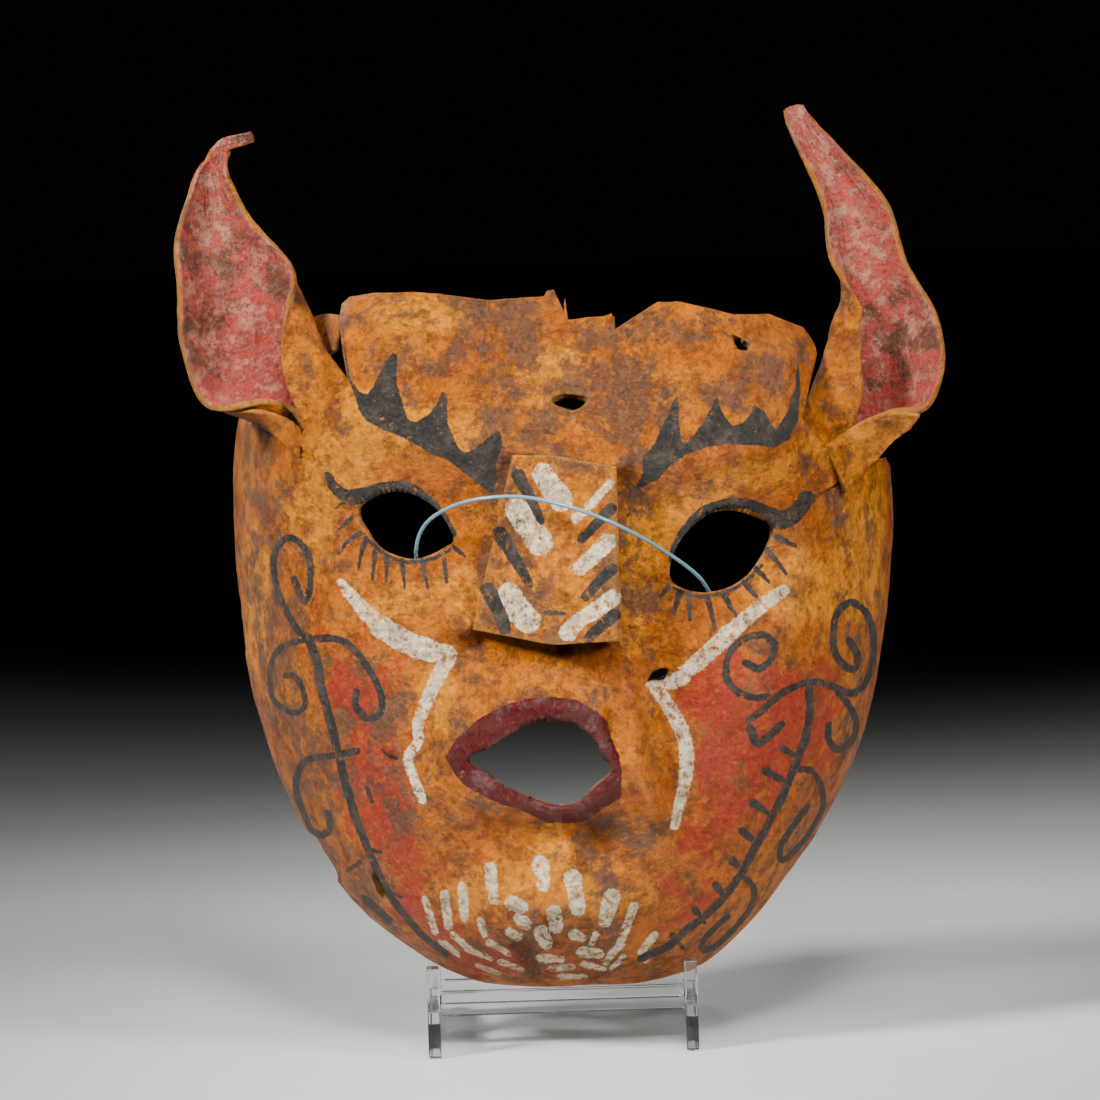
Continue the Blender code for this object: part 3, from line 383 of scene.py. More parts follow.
# Painted strokes: width at the start, width at the end, points along.
INK = [
    (2.3, 2.3, [
        (-86.5, 152.9), (-85.1, 148.8), (-83.3, 145.6), (-81.2, 151.1), (-81.6, 159.9), (-84.6, 164.4),
        (-88.6, 165.8), (-91.8, 162.7), (-93.2, 157.8), (-92.2, 149.6), (-89.3, 142.3), (-85.7, 136.6),
        (-82.4, 133.7),
    ]),
    (2.3, 2.3, [
        (-82.4, 133.7), (-74.0, 133.7), (-68.4, 130.7), (-63.9, 124.6), (-61.0, 119.2), (-59.6, 113.6),
        (-61.0, 109.2), (-65.1, 108.7), (-68.1, 112.6), (-67.6, 116.9),
    ]),
    (2.0, 2.0, [
        (-82.4, 133.7), (-90.3, 132.0), (-94.1, 128.4), (-95.9, 121.6), (-95.2, 115.3), (-90.9, 111.1),
        (-86.3, 110.7), (-84.3, 114.0), (-85.4, 119.1), (-87.8, 122.0), (-90.6, 122.4),
    ]),
    (3.2, 2.4, [
        (-82.4, 133.7), (-80.1, 127.0), (-78.8, 118.5), (-77.2, 111.0), (-75.3, 102.5), (-73.6, 94.0),
        (-71.4, 84.2), (-68.9, 75.7), (-66.0, 67.2), (-62.9, 58.6), (-59.0, 51.0), (-54.6, 44.6),
        (-49.1, 38.2), (-42.4, 32.4),
    ]),
    (2.3, 2.3, [
        (-68.2, 98.2), (-75.7, 96.9), (-83.9, 95.6), (-87.5, 91.9), (-88.9, 86.0), (-87.2, 79.4),
        (-84.6, 73.1), (-80.9, 71.1), (-78.0, 73.8), (-78.5, 78.5),
    ]),
    (1.8, 1.0, [(-65.4, 86.2), (-64.0, 82.1)]),
    (0.9, 1.5, [(-60.4, 98.6), (-57.9, 96.3), (-55.8, 95.9)]),
    (1.8, 1.0, [(-66.1, 66.9), (-61.7, 65.8)]),
    (1.8, 1.0, [(-59.6, 52.9), (-55.9, 51.2)]),
    (1.8, 1.0, [(-68.7, 62.6), (-73.2, 59.6)]),
    (3.0, 3.0, [(-67.8, 50.4), (-64.2, 46.8), (-60.5, 43.6)]),
    (2.6, 2.4, [
        (88.1, 127.7), (90.8, 123.2), (90.0, 118.9), (86.3, 119.9), (83.3, 124.4), (82.9, 131.3),
        (85.0, 137.5), (89.1, 139.8), (93.1, 137.5), (96.1, 131.5), (96.8, 124.3), (95.6, 118.1),
        (92.3, 112.5), (87.3, 111.1), (81.1, 114.1), (74.9, 115.3), (68.0, 113.3), (62.9, 110.3),
        (59.3, 107.0), (54.9, 104.0),
    ]),
    (2.4, 2.4, [
        (54.5, 122.2), (58.8, 120.2), (62.7, 123.5), (63.7, 127.5), (61.0, 130.4), (56.6, 130.5),
        (51.5, 127.9), (48.6, 123.0), (48.4, 117.4), (51.7, 113.2), (56.6, 111.2), (61.0, 111.3),
    ]),
    (2.4, 2.4, [
        (83.9, 112.2), (87.2, 107.7), (89.8, 102.6), (89.7, 97.3), (86.7, 94.0), (83.0, 93.5),
        (80.6, 97.0), (80.7, 101.3),
    ]),
    (2.8, 2.8, [
        (74.6, 113.7), (74.6, 105.6), (73.1, 97.8), (70.1, 90.4), (66.4, 82.1), (61.7, 72.9),
        (56.4, 64.0), (51.5, 55.4), (46.6, 49.0), (39.8, 42.6), (33.4, 38.1), (28.3, 33.6),
        (19.1, 29.5),
    ]),
    (3.0, 2.4, [(55.4, 101.5), (57.4, 96.8), (61.3, 98.8), (65.4, 102.4)]),
    (2.6, 1.6, [(65.8, 94.6), (69.5, 92.0)]),
    (3.0, 2.0, [(60.0, 87.9), (65.8, 84.3)]),
    (2.8, 1.8, [(55.6, 78.1), (60.8, 74.1)]),
    (2.8, 1.8, [(52.2, 69.1), (56.7, 64.6)]),
    (2.6, 1.8, [(48.8, 59.8), (52.4, 55.6)]),
    (2.6, 1.6, [(43.2, 52.2), (46.5, 48.0)]),
    (2.4, 1.6, [(36.4, 44.9), (39.4, 40.4)]),
    (2.4, 1.6, [(29.3, 36.7), (32.3, 32.5)]),
    (2.0, 2.2, [
        (70.0, 87.6), (74.7, 87.2), (77.9, 82.0), (78.6, 74.8), (74.6, 67.1), (69.5, 61.4),
        (65.0, 58.7), (64.5, 63.4), (68.5, 69.2), (73.4, 75.6),
    ]),
    (2.2, 2.2, [
        (52.1, 54.4), (55.4, 50.6), (55.2, 44.9), (50.3, 38.5), (43.9, 32.5), (39.4, 31.0),
        (38.9, 33.9), (42.5, 38.1), (47.0, 41.7),
    ]),
    (1.7, 0.8, [(-68.2, 176.7), (-70.8, 175.8), (-72.7, 174.3)]),
    (1.7, 0.8, [(-67.5, 171.3), (-72.3, 167.4)]),
    (1.9, 0.9, [(-65.1, 166.6), (-69.3, 163.6), (-71.9, 160.2)]),
    (1.9, 0.9, [(-63.0, 164.6), (-64.7, 160.3), (-65.8, 155.0)]),
    (1.9, 0.9, [(-60.3, 160.8), (-61.5, 151.8)]),
    (1.9, 0.9, [(-56.6, 158.8), (-57.2, 151.0)]),
    (1.9, 0.9, [(-52.0, 157.4), (-51.3, 148.9)]),
    (1.9, 0.9, [(-45.7, 157.5), (-44.1, 148.7)]),
    (1.9, 0.9, [(-38.8, 157.6), (-38.1, 150.4)]),
    (1.7, 0.8, [(-35.9, 161.3), (-31.9, 158.0)]),
    (1.9, 1.0, [(31.2, 147.0), (28.3, 143.6)]),
    (2.1, 1.1, [(34.3, 144.7), (32.5, 138.2)]),
    (2.2, 1.2, [(37.4, 144.3), (37.4, 136.2)]),
    (2.2, 1.2, [(43.0, 143.2), (45.2, 133.4)]),
    (2.2, 1.2, [(48.0, 144.3), (51.8, 137.0)]),
    (2.2, 1.2, [(55.0, 147.2), (58.6, 142.7)]),
    (2.2, 1.2, [(58.9, 151.4), (62.8, 147.2)]),
    (2.2, 1.2, [(62.5, 157.3), (65.5, 153.4), (68.2, 149.6)]),
    (2.2, 1.2, [(65.7, 161.2), (71.6, 158.2)]),
    (2.6, 4.6, [(-74.5, 185.6), (-72.8, 181.5), (-70.0, 178.9), (-66.3, 177.6)]),
    (5.2, 3.8, [(-66.9, 177.9), (-61.9, 178.7), (-58.1, 180.1), (-54.0, 180.6)]),
    (4.0, 2.8, [(-54.0, 180.6), (-50.3, 180.5), (-46.9, 179.1), (-43.2, 176.2)]),
    (3.0, 2.0, [(-43.2, 176.2), (-40.2, 173.0), (-37.5, 169.2), (-35.4, 165.3)]),
    (3.0, 4.2, [
        (42.2, 169.8), (47.9, 171.8), (54.8, 172.2), (61.0, 170.1), (67.2, 167.7), (71.9, 169.5),
        (74.9, 173.4),
    ]),
    (2.4, 3.4, [(32.4, 155.1), (34.1, 160.0), (37.7, 165.5), (42.5, 169.8)]),
    (3.4, 4.6, [(63.4, 166.6), (66.8, 165.2), (70.6, 166.7), (74.1, 170.0), (76.1, 173.1)]),
    (1.2, 1.2, [
        (-63.0, 164.9), (-57.8, 160.1), (-52.6, 157.4), (-47.6, 157.0), (-41.9, 158.0), (-36.2, 160.7),
    ]),
    (1.2, 1.2, [
        (32.7, 146.3), (37.7, 144.0), (44.5, 143.7), (50.5, 145.1), (55.9, 148.1), (60.4, 152.3),
    ]),
    (4.4, 2.4, [(-14.9, 182.8), (-11.3, 176.1), (-8.1, 168.5)]),
    (4.8, 2.8, [(-21.1, 164.9), (-16.6, 157.2), (-12.2, 149.0)]),
    (5.0, 3.8, [(-25.1, 147.5), (-22.7, 141.8), (-20.4, 135.5)]),
    (3.8, 3.0, [(13.8, 171.6), (9.3, 167.4), (4.5, 162.5)]),
    (3.6, 3.0, [(13.6, 152.9), (9.4, 149.2), (4.9, 144.7)]),
    (4.2, 3.4, [(13.7, 138.5), (9.9, 135.5), (5.4, 131.8)]),
    (1.6, 1.2, [(-7.5, 140.1), (-1.6, 139.6)]),
]
CREAM = [
    (2.6, 6.0, [(-71.5, 151.1), (-68.5, 147.3), (-64.0, 141.8), (-59.2, 137.0)]),
    (6.8, 7.4, [(-59.2, 137.0), (-54.3, 133.7), (-50.0, 131.4), (-45.9, 129.7)]),
    (7.4, 4.8, [(-45.9, 129.7), (-42.9, 128.7), (-40.7, 128.3), (-38.5, 128.5)]),
    (5.4, 3.4, [(-38.2, 127.6), (-41.9, 120.5), (-46.2, 112.2), (-48.9, 105.1)]),
    (3.4, 2.8, [(-48.9, 105.1), (-48.7, 100.7), (-52.0, 96.1), (-50.6, 90.1), (-48.1, 82.6)]),
    (4.0, 5.0, [(67.1, 144.3), (62.9, 141.6), (58.4, 138.6), (49.8, 131.7)]),
    (5.8, 4.6, [(49.8, 131.7), (41.4, 124.5), (35.0, 119.7)]),
    (3.0, 5.2, [(24.3, 115.9), (27.4, 116.8), (31.2, 117.0), (34.4, 118.4)]),
    (4.2, 4.8, [(26.1, 115.3), (28.8, 111.1), (31.8, 106.0), (34.4, 99.4), (35.1, 93.1)]),
    (4.6, 3.0, [(35.1, 93.1), (34.3, 85.0), (32.2, 78.2), (30.7, 72.0)]),
    (6.6, 7.4, [(-7.1, 183.2), (-4.7, 179.1), (-1.7, 174.9)]),
    (7.4, 8.4, [(-15.5, 172.2), (-12.0, 166.8), (-8.7, 162.0)]),
    (6.6, 8.0, [(-18.8, 146.4), (-16.2, 141.6), (-13.2, 137.7)]),
    (2.4, 3.0, [(14.1, 180.0), (8.6, 174.3), (2.8, 168.8)]),
    (5.6, 4.6, [(12.6, 161.6), (8.4, 157.7), (3.6, 153.5)]),
    (5.2, 4.8, [(13.6, 144.1), (8.8, 140.8), (3.7, 137.8)]),
    (4.8, 5.6, [(3.7, 137.8), (0.8, 135.4), (-0.8, 133.6)]),
    (3.8, 3.4, [(-27.5, 60.7), (-26.5, 50.6)]),
    (3.0, 3.0, [(-36.4, 54.7), (-36.1, 44.7)]),
    (3.0, 2.6, [(-42.1, 52.4), (-41.2, 41.7)]),
    (2.4, 2.2, [(-48.4, 50.7), (-45.6, 40.0)]),
    (5.2, 4.4, [(-11.8, 61.7), (-11.1, 55.1)]),
    (5.6, 4.6, [(-1.7, 56.7), (-0.4, 46.7)]),
    (5.2, 4.6, [(-20.6, 49.2), (-18.2, 47.9)]),
    (4.4, 4.0, [(-18.6, 44.4), (-16.8, 42.5)]),
    (5.0, 4.4, [(-7.9, 46.0), (-7.5, 41.3)]),
    (5.6, 4.4, [(10.3, 50.1), (7.9, 42.7)]),
    (3.0, 2.6, [(17.1, 46.8), (13.0, 36.2)]),
    (3.2, 2.8, [(-21.9, 39.8), (-19.1, 38.2)]),
    (4.8, 4.2, [(-12.2, 39.5), (-10.7, 36.1)]),
    (3.6, 3.0, [(-1.9, 38.6), (0.5, 37.3)]),
    (3.8, 3.4, [(0.7, 32.6), (5.7, 31.8)]),
    (3.0, 2.6, [(-12.5, 31.1), (-6.2, 30.3)]),
    (2.6, 2.2, [(-9.1, 27.3), (-2.9, 27.7)]),
    (2.4, 1.8, [(-28.5, 36.6), (-22.7, 32.7)]),
    (2.0, 1.6, [(-35.8, 34.3), (-28.4, 31.0)]),
    (3.0, 2.2, [(13.0, 35.0), (7.8, 28.9)]),
    (2.8, 2.0, [(23.4, 37.2), (19.1, 31.7)]),
    (2.2, 1.8, [(-40.0, 39.2), (-35.2, 34.6)]),
    (2.0, 1.6, [(-43.9, 36.8), (-38.4, 32.2)]),
    (2.2, 1.6, [(-25.3, 29.9), (-18.5, 27.2)]),
    (2.2, 1.6, [(0.9, 28.5), (7.7, 26.4)]),
    (2.0, 1.6, [(-6.7, 24.4), (1.4, 24.1)]),
    (2.0, 1.4, [(13.5, 30.6), (9.6, 26.4)]),
    (2.0, 1.4, [(25.4, 32.7), (20.3, 28.5)]),
    (1.8, 1.4, [(-32.9, 28.9), (-25.5, 25.6)]),
    (2.2, 1.8, [(5.0, 38.4), (3.6, 35.3)]),
    (2.6, 2.0, [(-31.1, 43.9), (-30.0, 38.9)]),
]
# Painted areas: outlines.
BROWS = [
    [(-65.6, 211.0), (-63.9, 204.7), (-61.8, 201.8), (-56.3, 198.2), (-51.0, 196.2), (-46.4, 193.5),
     (-40.6, 189.9), (-35.7, 187.9), (-31.7, 184.3), (-26.5, 180.1), (-22.9, 177.1), (-21.5, 181.8),
     (-21.6, 187.4), (-19.3, 192.3), (-20.1, 197.4), (-24.2, 194.7), (-28.1, 191.7), (-31.5, 190.2),
     (-34.2, 194.4), (-36.2, 199.8), (-36.3, 207.6), (-36.8, 212.6), (-38.8, 207.0), (-41.8, 203.1),
     (-46.2, 200.4), (-48.7, 201.7), (-50.4, 208.0), (-51.8, 213.1), (-51.1, 223.7), (-53.4, 222.2),
     (-56.3, 217.6), (-59.3, 212.0), (-61.6, 209.3), (-64.0, 211.3), (-66.4, 215.1), (-67.4, 222.0),
     (-68.2, 228.9), (-68.1, 220.8), (-67.0, 214.5)],
    [(19.2, 174.2), (23.4, 178.2), (28.8, 180.2), (32.7, 184.5), (37.8, 187.7), (43.5, 189.7),
     (50.4, 190.5), (59.4, 190.2), (65.3, 189.1), (70.1, 191.4), (73.4, 197.6), (74.4, 208.5),
     (74.1, 219.4), (72.8, 207.6), (70.1, 200.2), (65.8, 194.7), (62.9, 200.4), (59.5, 203.0),
     (58.5, 199.9), (55.9, 197.2), (52.4, 196.3), (49.2, 201.1), (48.1, 206.5), (46.1, 202.2),
     (42.5, 196.7), (38.5, 191.8), (36.7, 191.2), (35.9, 197.2), (35.7, 209.1), (32.9, 201.3),
     (30.3, 196.4), (27.6, 190.6), (24.0, 187.5), (24.2, 182.8), (21.9, 178.5)],
]
LIP_LINE = [
    (-40.4, 95.8), (-36.8, 101.3), (-29.8, 107.3), (-21.8, 111.4), (-14.2, 113.7), (-5.8, 113.8),
    (1.0, 112.6), (7.2, 109.0), (10.8, 105.4), (11.6, 99.8), (13.9, 95.3), (14.7, 90.0), (14.1, 81.5),
    (9.0, 78.6), (3.3, 74.7), (-1.4, 73.9), (-9.8, 74.5), (-15.7, 78.1), (-22.2, 80.2), (-29.3, 83.5),
    (-35.1, 87.5), (-38.4, 92.0),
]
# Tints of the hide: across, up, half width, half height, turn in degrees, strength.
BLUSH = [
    (-69.5, 117.6, 9, 20, 15, 0.9), (-62.6, 86.1, 14, 26, 8, 0.9), (-54.0, 60.9, 14, 20, 30, 0.45),
    (-53.6, 123.4, 9, 14, 0, 0.5), (58.2, 99.5, 24, 24, -25, 1.0), (44.5, 114.0, 14, 14, 0, 0.6),
    (43.2, 70.3, 12, 22, -25, 0.6), (71.0, 110.1, 16, 16, 0, 0.5), (-17.5, 30.0, 22, 7, 0, 0.8),
    (-46.8, 41.9, 20, 8, -35, 0.6), (34.7, 48.7, 16, 12, 35, 0.4),
]
# Brown-grey dirt over the hide. Some patches are painted shade: the column right of the nose, partly
# also brown stain there; the thin band just under the nose; the two patches right of the chin below the
# mouth; and the narrow line along the chin crease, partly the dirt in its crack.
GRIME_AND_SHADE = [
    (-55.0, 229.7, 16, 14, 0, 0.8), (-58.6, 114.2, 12, 14, 0, 0.8), (-70.3, 92.0, 14, 8, 0, 1.0),
    (-54.9, 84.3, 7, 18, 0, 0.9), (-76.1, 55.3, 14, 12, -35, 1.0), (-28.3, 233.6, 12, 10, 0, 0.6),
    (-13.0, 223.7, 14, 14, 0, 0.7), (8.5, 210.5, 20, 18, 0, 0.5), (55.3, 206.9, 16, 7, 10, 0.9),
    (-37.2, 219.2, 5, 5, 0, 2.4), (-22.7, 231.2, 12, 7, 0, 1.2), (6.8, 205.9, 7, 5, 0, 1.8),
    (91.7, 190.7, 5, 16, -10, 1.2), (94.9, 153.1, 4, 20, 0, 0.9), (37.1, 226.8, 14, 8, 0, 0.6),
    (23.8, 199.1, 10, 14, 0, 0.5), (-26.4, 194.4, 8, 10, 0, 0.9), (-24.5, 156.9, 6, 34, -8, 0.9),
    (-98.6, 184.2, 12, 26, 0, 0.8), (-96.1, 146.6, 10, 26, 0, 1.0), (-89.8, 118.3, 12, 22, 0, 1.1),
    (-82.7, 93.0, 10, 22, 10, 1.1), (-3.6, 124.9, 20, 5, 0, 0.7), (20.2, 183.6, 6, 12, 0, 0.6),
    (7.1, 65.2, 10, 10, 0, 0.9), (6.4, 62.7, 6, 7, 0, 1.6), (-5.3, 68.7, 26, 8, 0, 0.6),
    (-33.1, 82.1, 18, 12, 0, 0.4), (24.7, 80.3, 10, 16, 0, 0.4), (73.0, 172.6, 9, 12, 0, 0.6),
    (86.9, 159.6, 6, 18, 0, 0.5), (92.2, 109.4, 7, 30, -8, 0.5), (79.4, 78.6, 8, 26, -25, 0.4),
    (21.5, 127.3, 8, 7, 0, 0.8), (-6.5, 31.2, 40, 8, 0, 0.5), (-16.6, 30.3, 1.6, 8, 25, 3.0),
    (-10.7, 38.9, 4, 3, 0, 1.6), (12.4, 233.9, 8, 8, 0, 0.8), (65.1, 219.7, 14, 12, 0, 0.5),
    (17.1, 205.6, 12, 26, 0, 1.2), (19.8, 172.7, 5, 26, 0, 1.8), (21.0, 150.7, 5, 26, 0, 1.6),
    (-6.3, 237.6, 14, 8, 0, 0.5), (-18.3, 203.6, 10, 14, 0, 1.0), (-1.4, 193.7, 18, 6, 0, 0.9),
]
NOSE_GRIME = [
    (-20.5, 181.7, 8, 16, -10, 1.0), (-4.5, 175.0, 3, 12, 0, 0.7), (-13.7, 150.3, 9, 8, 0, 1.0),
    (-25.0, 138.1, 8, 8, 0, 0.9), (10.8, 183.9, 8, 6, 0, 0.8), (6.8, 155.9, 10, 8, 0, 0.6),
    (-4.9, 131.2, 12, 4, 0, 1.0), (12.6, 143.2, 4, 20, 0, 0.8), (1.6, 188.9, 16, 4, 0, 1.0),
    (-17.2, 167.6, 5, 14, 0, 1.0), (-9.3, 140.8, 7, 8, 0, 0.8), (8.8, 139.6, 5, 8, 0, 0.6),
]
FRESH = [
    (-40.8, 234.9, 18, 7, 0, 0.9), (-2.3, 214.0, 12, 12, 0, 0.9), (-45.0, 199.7, 26, 9, -20, 0.8),
    (-68.8, 189.5, 12, 14, 0, 0.9), (-80.3, 171.1, 9, 16, 0, 0.8), (-31.1, 144.6, 6, 12, 0, 0.8),
    (-41.4, 113.6, 8, 14, 20, 0.9), (72.1, 144.4, 16, 14, 0, 0.9), (93.0, 153.2, 8, 22, 0, 0.9),
    (-51.4, 145.2, 18, 6, 15, 0.8), (22.4, 155.4, 8, 20, 0, 0.8), (41.7, 173.5, 18, 8, 30, 0.7),
    (83.0, 194.1, 10, 10, 0, 1.0), (63.9, 182.2, 14, 6, 0, 0.6), (-99.4, 159.2, 6, 16, 0, 0.5),
    (-101.8, 134.3, 7, 14, 0, 0.7), (-34.0, 50.9, 14, 10, 0, 0.7), (12.8, 49.4, 20, 9, 0, 0.6),
    (95.0, 178.1, 8, 16, 0, 0.6), (-10.4, 56.4, 20, 10, 0, 0.5), (-8.6, 65.7, 4, 14, 0, 1.0),
    (15.6, 136.8, 6, 12, 0, 0.5),
]


def bearing(points):
    """The direction of points about the middle of the face, in degrees from 0 to 360."""
    return np.degrees(np.arctan2(points[:, 1] - MIDDLE[1], points[:, 0] - MIDDLE[0])) % 360.0


def round_trip(at, where, values):
    """A smooth value that runs once around the face, through values at the bearings where."""
    at = np.asarray(at, float) % 360.0
    order = np.argsort(where)
    a = np.asarray(where, float)[order]
    v = np.asarray(values, float)[order]
    a = np.concatenate([a[-2:] - 360.0, a, a[:2] + 360.0])
    v = np.concatenate([v[-2:], v, v[:2]])
    slope = np.gradient(v, a)
    k = np.clip(np.searchsorted(a, at, side="right") - 1, 0, len(a) - 2)
    step = a[k + 1] - a[k]
    t = (at - a[k]) / step
    return (
        v[k] * (1 + 2 * t) * (1 - t) ** 2
        + v[k + 1] * t * t * (3 - 2 * t)
        + slope[k] * step * t * (1 - t) ** 2
        - slope[k + 1] * step * t * t * (1 - t)
    )


def smooth_line(points, per_span, closed=False):
    """Points on a smooth line through the given ones."""
    p = np.asarray(points, float)
    n = len(p)
    spans = n if closed else n - 1
    out = []
    for i in range(spans):
        if closed:
            a, b, c, d = p[(i - 1) % n], p[i], p[(i + 1) % n], p[(i + 2) % n]
        else:
            b, c = p[i], p[i + 1]
            a = p[i - 1] if i else 2 * b - c
            d = p[i + 2] if i + 2 < n else 2 * c - b
        for t in np.arange(per_span) / per_span:
            out.append(
                b
                + 0.5 * t * (c - a)
                + t * t * (a - 2.5 * b + 2 * c - 0.5 * d)
                + t**3 * (-0.5 * a + 1.5 * b - 1.5 * c + 0.5 * d)
            )
    if not closed:
        out.append(p[-1])
    return np.array(out)


def bowl_values(at):
    """Reach, depth, squareness and turn of the bowl in each direction."""
    line = np.array(BOWL_LINE, float)
    reach = np.hypot(line[:, 0] - MIDDLE[0], line[:, 1] - MIDDLE[1])
    table = np.array(BOWL, float)
    return [round_trip(at, bearing(line), reach)] + [
        round_trip(at, table[:, 0], table[:, k]) for k in (1, 2, 3)
    ]


def along_edge(at, edge):
    """How far out a cut edge runs in each direction."""
    e = np.array(edge, float)
    where = bearing(e)
    out = np.hypot(e[:, 0] - MIDDLE[0], e[:, 1] - MIDDLE[1])
    order = np.argsort(where, kind="stable")
    x = out * np.cos(np.radians(where))
    y = out * np.sin(np.radians(where))
    k = np.clip(np.searchsorted(where[order], at, side="right") - 1, 0, len(e) - 2)
    i, j = order[k], order[k + 1]
    dx, dy = np.cos(np.radians(at)), np.sin(np.radians(at))
    ex, ey = x[j] - x[i], y[j] - y[i]
    cross = dx * ey - dy * ex
    straight_out = np.abs(cross) < TINY
    hit = (x[i] * ey - y[i] * ex) / np.where(straight_out, 1.0, cross)
    return np.where(straight_out, out[i], hit)


def last_turn(at, reach, squareness, turn):
    """The angle at which the hide ends in each direction."""
    limit = np.radians(turn)
    for edge in (TOP_EDGE, TEAR):
        where = bearing(np.array(edge, float))
        inside = (at >= where.min()) & (at <= where.max())
        ratio = np.clip(along_edge(at, edge) / reach, 0.0, 0.9995)
        cut = np.arcsin(ratio ** (squareness / 2))
        limit = np.where(inside, np.minimum(limit, cut), limit)
    return limit


def turned_rows(at, end, rows):
    """Rows of angles: alike in neighbouring directions in the middle, ending at the cut edge."""
    apart = np.abs((at[:, None] - at[None, :] + 180.0) % 360.0 - 180.0)
    low = np.min(np.where(apart < ALIKE_DEG, end[None, :], 9.0), axis=1)
    weight = np.exp(-((apart / BLEND_DEG) ** 2))
    common = 0.86 * (weight @ low) / weight.sum(axis=1)
    common = np.minimum(common, 0.9 * end)
    share = (np.arange(1, rows + 1) / rows)[:, None]
    middle = share / MIDDLE_ROWS * common
    rim = common + (share - MIDDLE_ROWS) / (1.0 - MIDDLE_ROWS) * (end - common)
    return np.where(share <= MIDDLE_ROWS, middle, rim)


def soft_patch(x, h, across, up, wide, high, turn):
    """A soft oval patch: 1 at its middle, fading out over its half width and half height."""
    c, s = math.cos(math.radians(turn)), math.sin(math.radians(turn))
    a = ((x - across) * c + (h - up) * s) / wide
    b = (-(x - across) * s + (h - up) * c) / high
    return np.exp(-(a * a + b * b))


def nearest_on(x, h, start, end):
    """Where along a straight run each spot is nearest, from 0 to 1, and its offset from there."""
    (ax, ah), (bx, bh) = start, end
    dx, dh = bx - ax, bh - ah
    t = np.clip(((x - ax) * dx + (h - ah) * dh) / max(dx * dx + dh * dh, TINY), 0.0, 1.0)
    return t, x - ax - t * dx, h - ah - t * dh


def relief(x, h, inside=False):
    """How far the hide swells towards the viewer; inside, sharp raised folds fill up."""
    rise = np.zeros_like(x)
    for *place, height in SWELLINGS:
        rise = rise + height * soft_patch(x, h, *place)
    for line, width, height in FOLDS:
        if height < 0 or not inside:
            rise = rise + height * np.exp(-((off_line(x, h, line) / width) ** 2))
    lip = LIP_RISE * np.exp(-(((off_line(x, h, MOUTH, True) - LIP_OUT) / LIP_WIDE) ** 2))
    return rise + (0.4 * lip if inside else lip)


def off_line(x, h, line, closed=False):
    """Distance from a line through points, in the front view."""
    p = np.array(line, float)
    if closed:
        p = np.vstack([p, p[:1]])
    best = np.full(np.shape(x), HUGE)
    for start, end in zip(p[:-1], p[1:]):
        _, across, up = nearest_on(x, h, start, end)
        best = np.minimum(best, np.hypot(across, up))
    return best


def face_surface(at, phi, inside=False):
    """Points of the hide in directions at, turned through the angles phi from the middle."""
    reach, depth, squareness, _ = bowl_values(at)
    q = np.sin(np.minimum(phi, math.pi)) ** (2.0 / squareness)
    x = MIDDLE[0] + reach * q * np.cos(np.radians(at))
    h = MIDDLE[1] + reach * q * np.sin(np.radians(at))
    fade = np.clip(np.cos(np.minimum(phi, math.pi / 2)) * 2.2, 0.0, 1.0)
    d = FACE_DEPTH + depth * (1.0 - np.cos(phi)) - fade * relief(x, h, inside)
    return np.stack([x, h, d], axis=-1)


def inner_surface(at, phi):
    """The back of the hide, a hide's thickness behind the front of it."""
    small = 0.01
    here = face_surface(at, phi, True)
    across = face_surface(at + 0.6, phi, True) - face_surface(at - 0.6, phi, True)
    outward = face_surface(at, phi + small, True) - face_surface(at, phi - small, True)
    n = np.cross(outward, across)
    n = n / np.maximum(np.linalg.norm(n, axis=-1, keepdims=True), TINY)
    return here + HIDE * n


def placed(points):
    """From the mask's own frame to the shared one, in metres."""
    p = np.asarray(points, float)
    c, s = math.cos(math.radians(LEAN_DEG)), math.sin(math.radians(LEAN_DEG))
    x, h, d = p[..., 0], p[..., 1], p[..., 2]
    return np.stack([x + ACROSS, STAND_Y + h * s + d * c, h * c - d * s], axis=-1) * MM


def grid_normals(p):
    """Normals of a grid of points."""
    n = np.cross(np.gradient(p, axis=0), np.gradient(p, axis=1))
    size = np.linalg.norm(n, axis=-1, keepdims=True)
    return n / np.maximum(size, TINY)


def stroke_offsets(x, h, line, start, end):
    """Offset to the nearest place on a brush line, and the half width there."""
    best = np.full(x.shape, HUGE)
    found = [np.zeros(x.shape) for _ in range(3)]
    last = len(line) - 1
    for k in range(last):
        t, across, up = nearest_on(x, h, line[k], line[k + 1])
        half = (start + (end - start) * (k + t) / last) / 2
        away = np.hypot(across, up) - half
        nearer = away < best
        best = np.where(nearer, away, best)
        found = [np.where(nearer, new, old) for new, old in zip((across, up, half), found)]
    return best, *found


def short_strokes(strokes):
    """Cuts brush lines into short runs, so that a curl doesn't take the side of its other turn."""
    out = []
    for start, end, route in strokes:
        line = smooth_line(route, STROKE_STEPS)
        last = len(line) - 1
        for k in range(0, last, STROKE_STEPS):
            j = min(k + STROKE_STEPS, last)
            wide = [start + (end - start) * i / last for i in (k, j)]
            out.append((*wide, line[k:j + 1]))
    return out


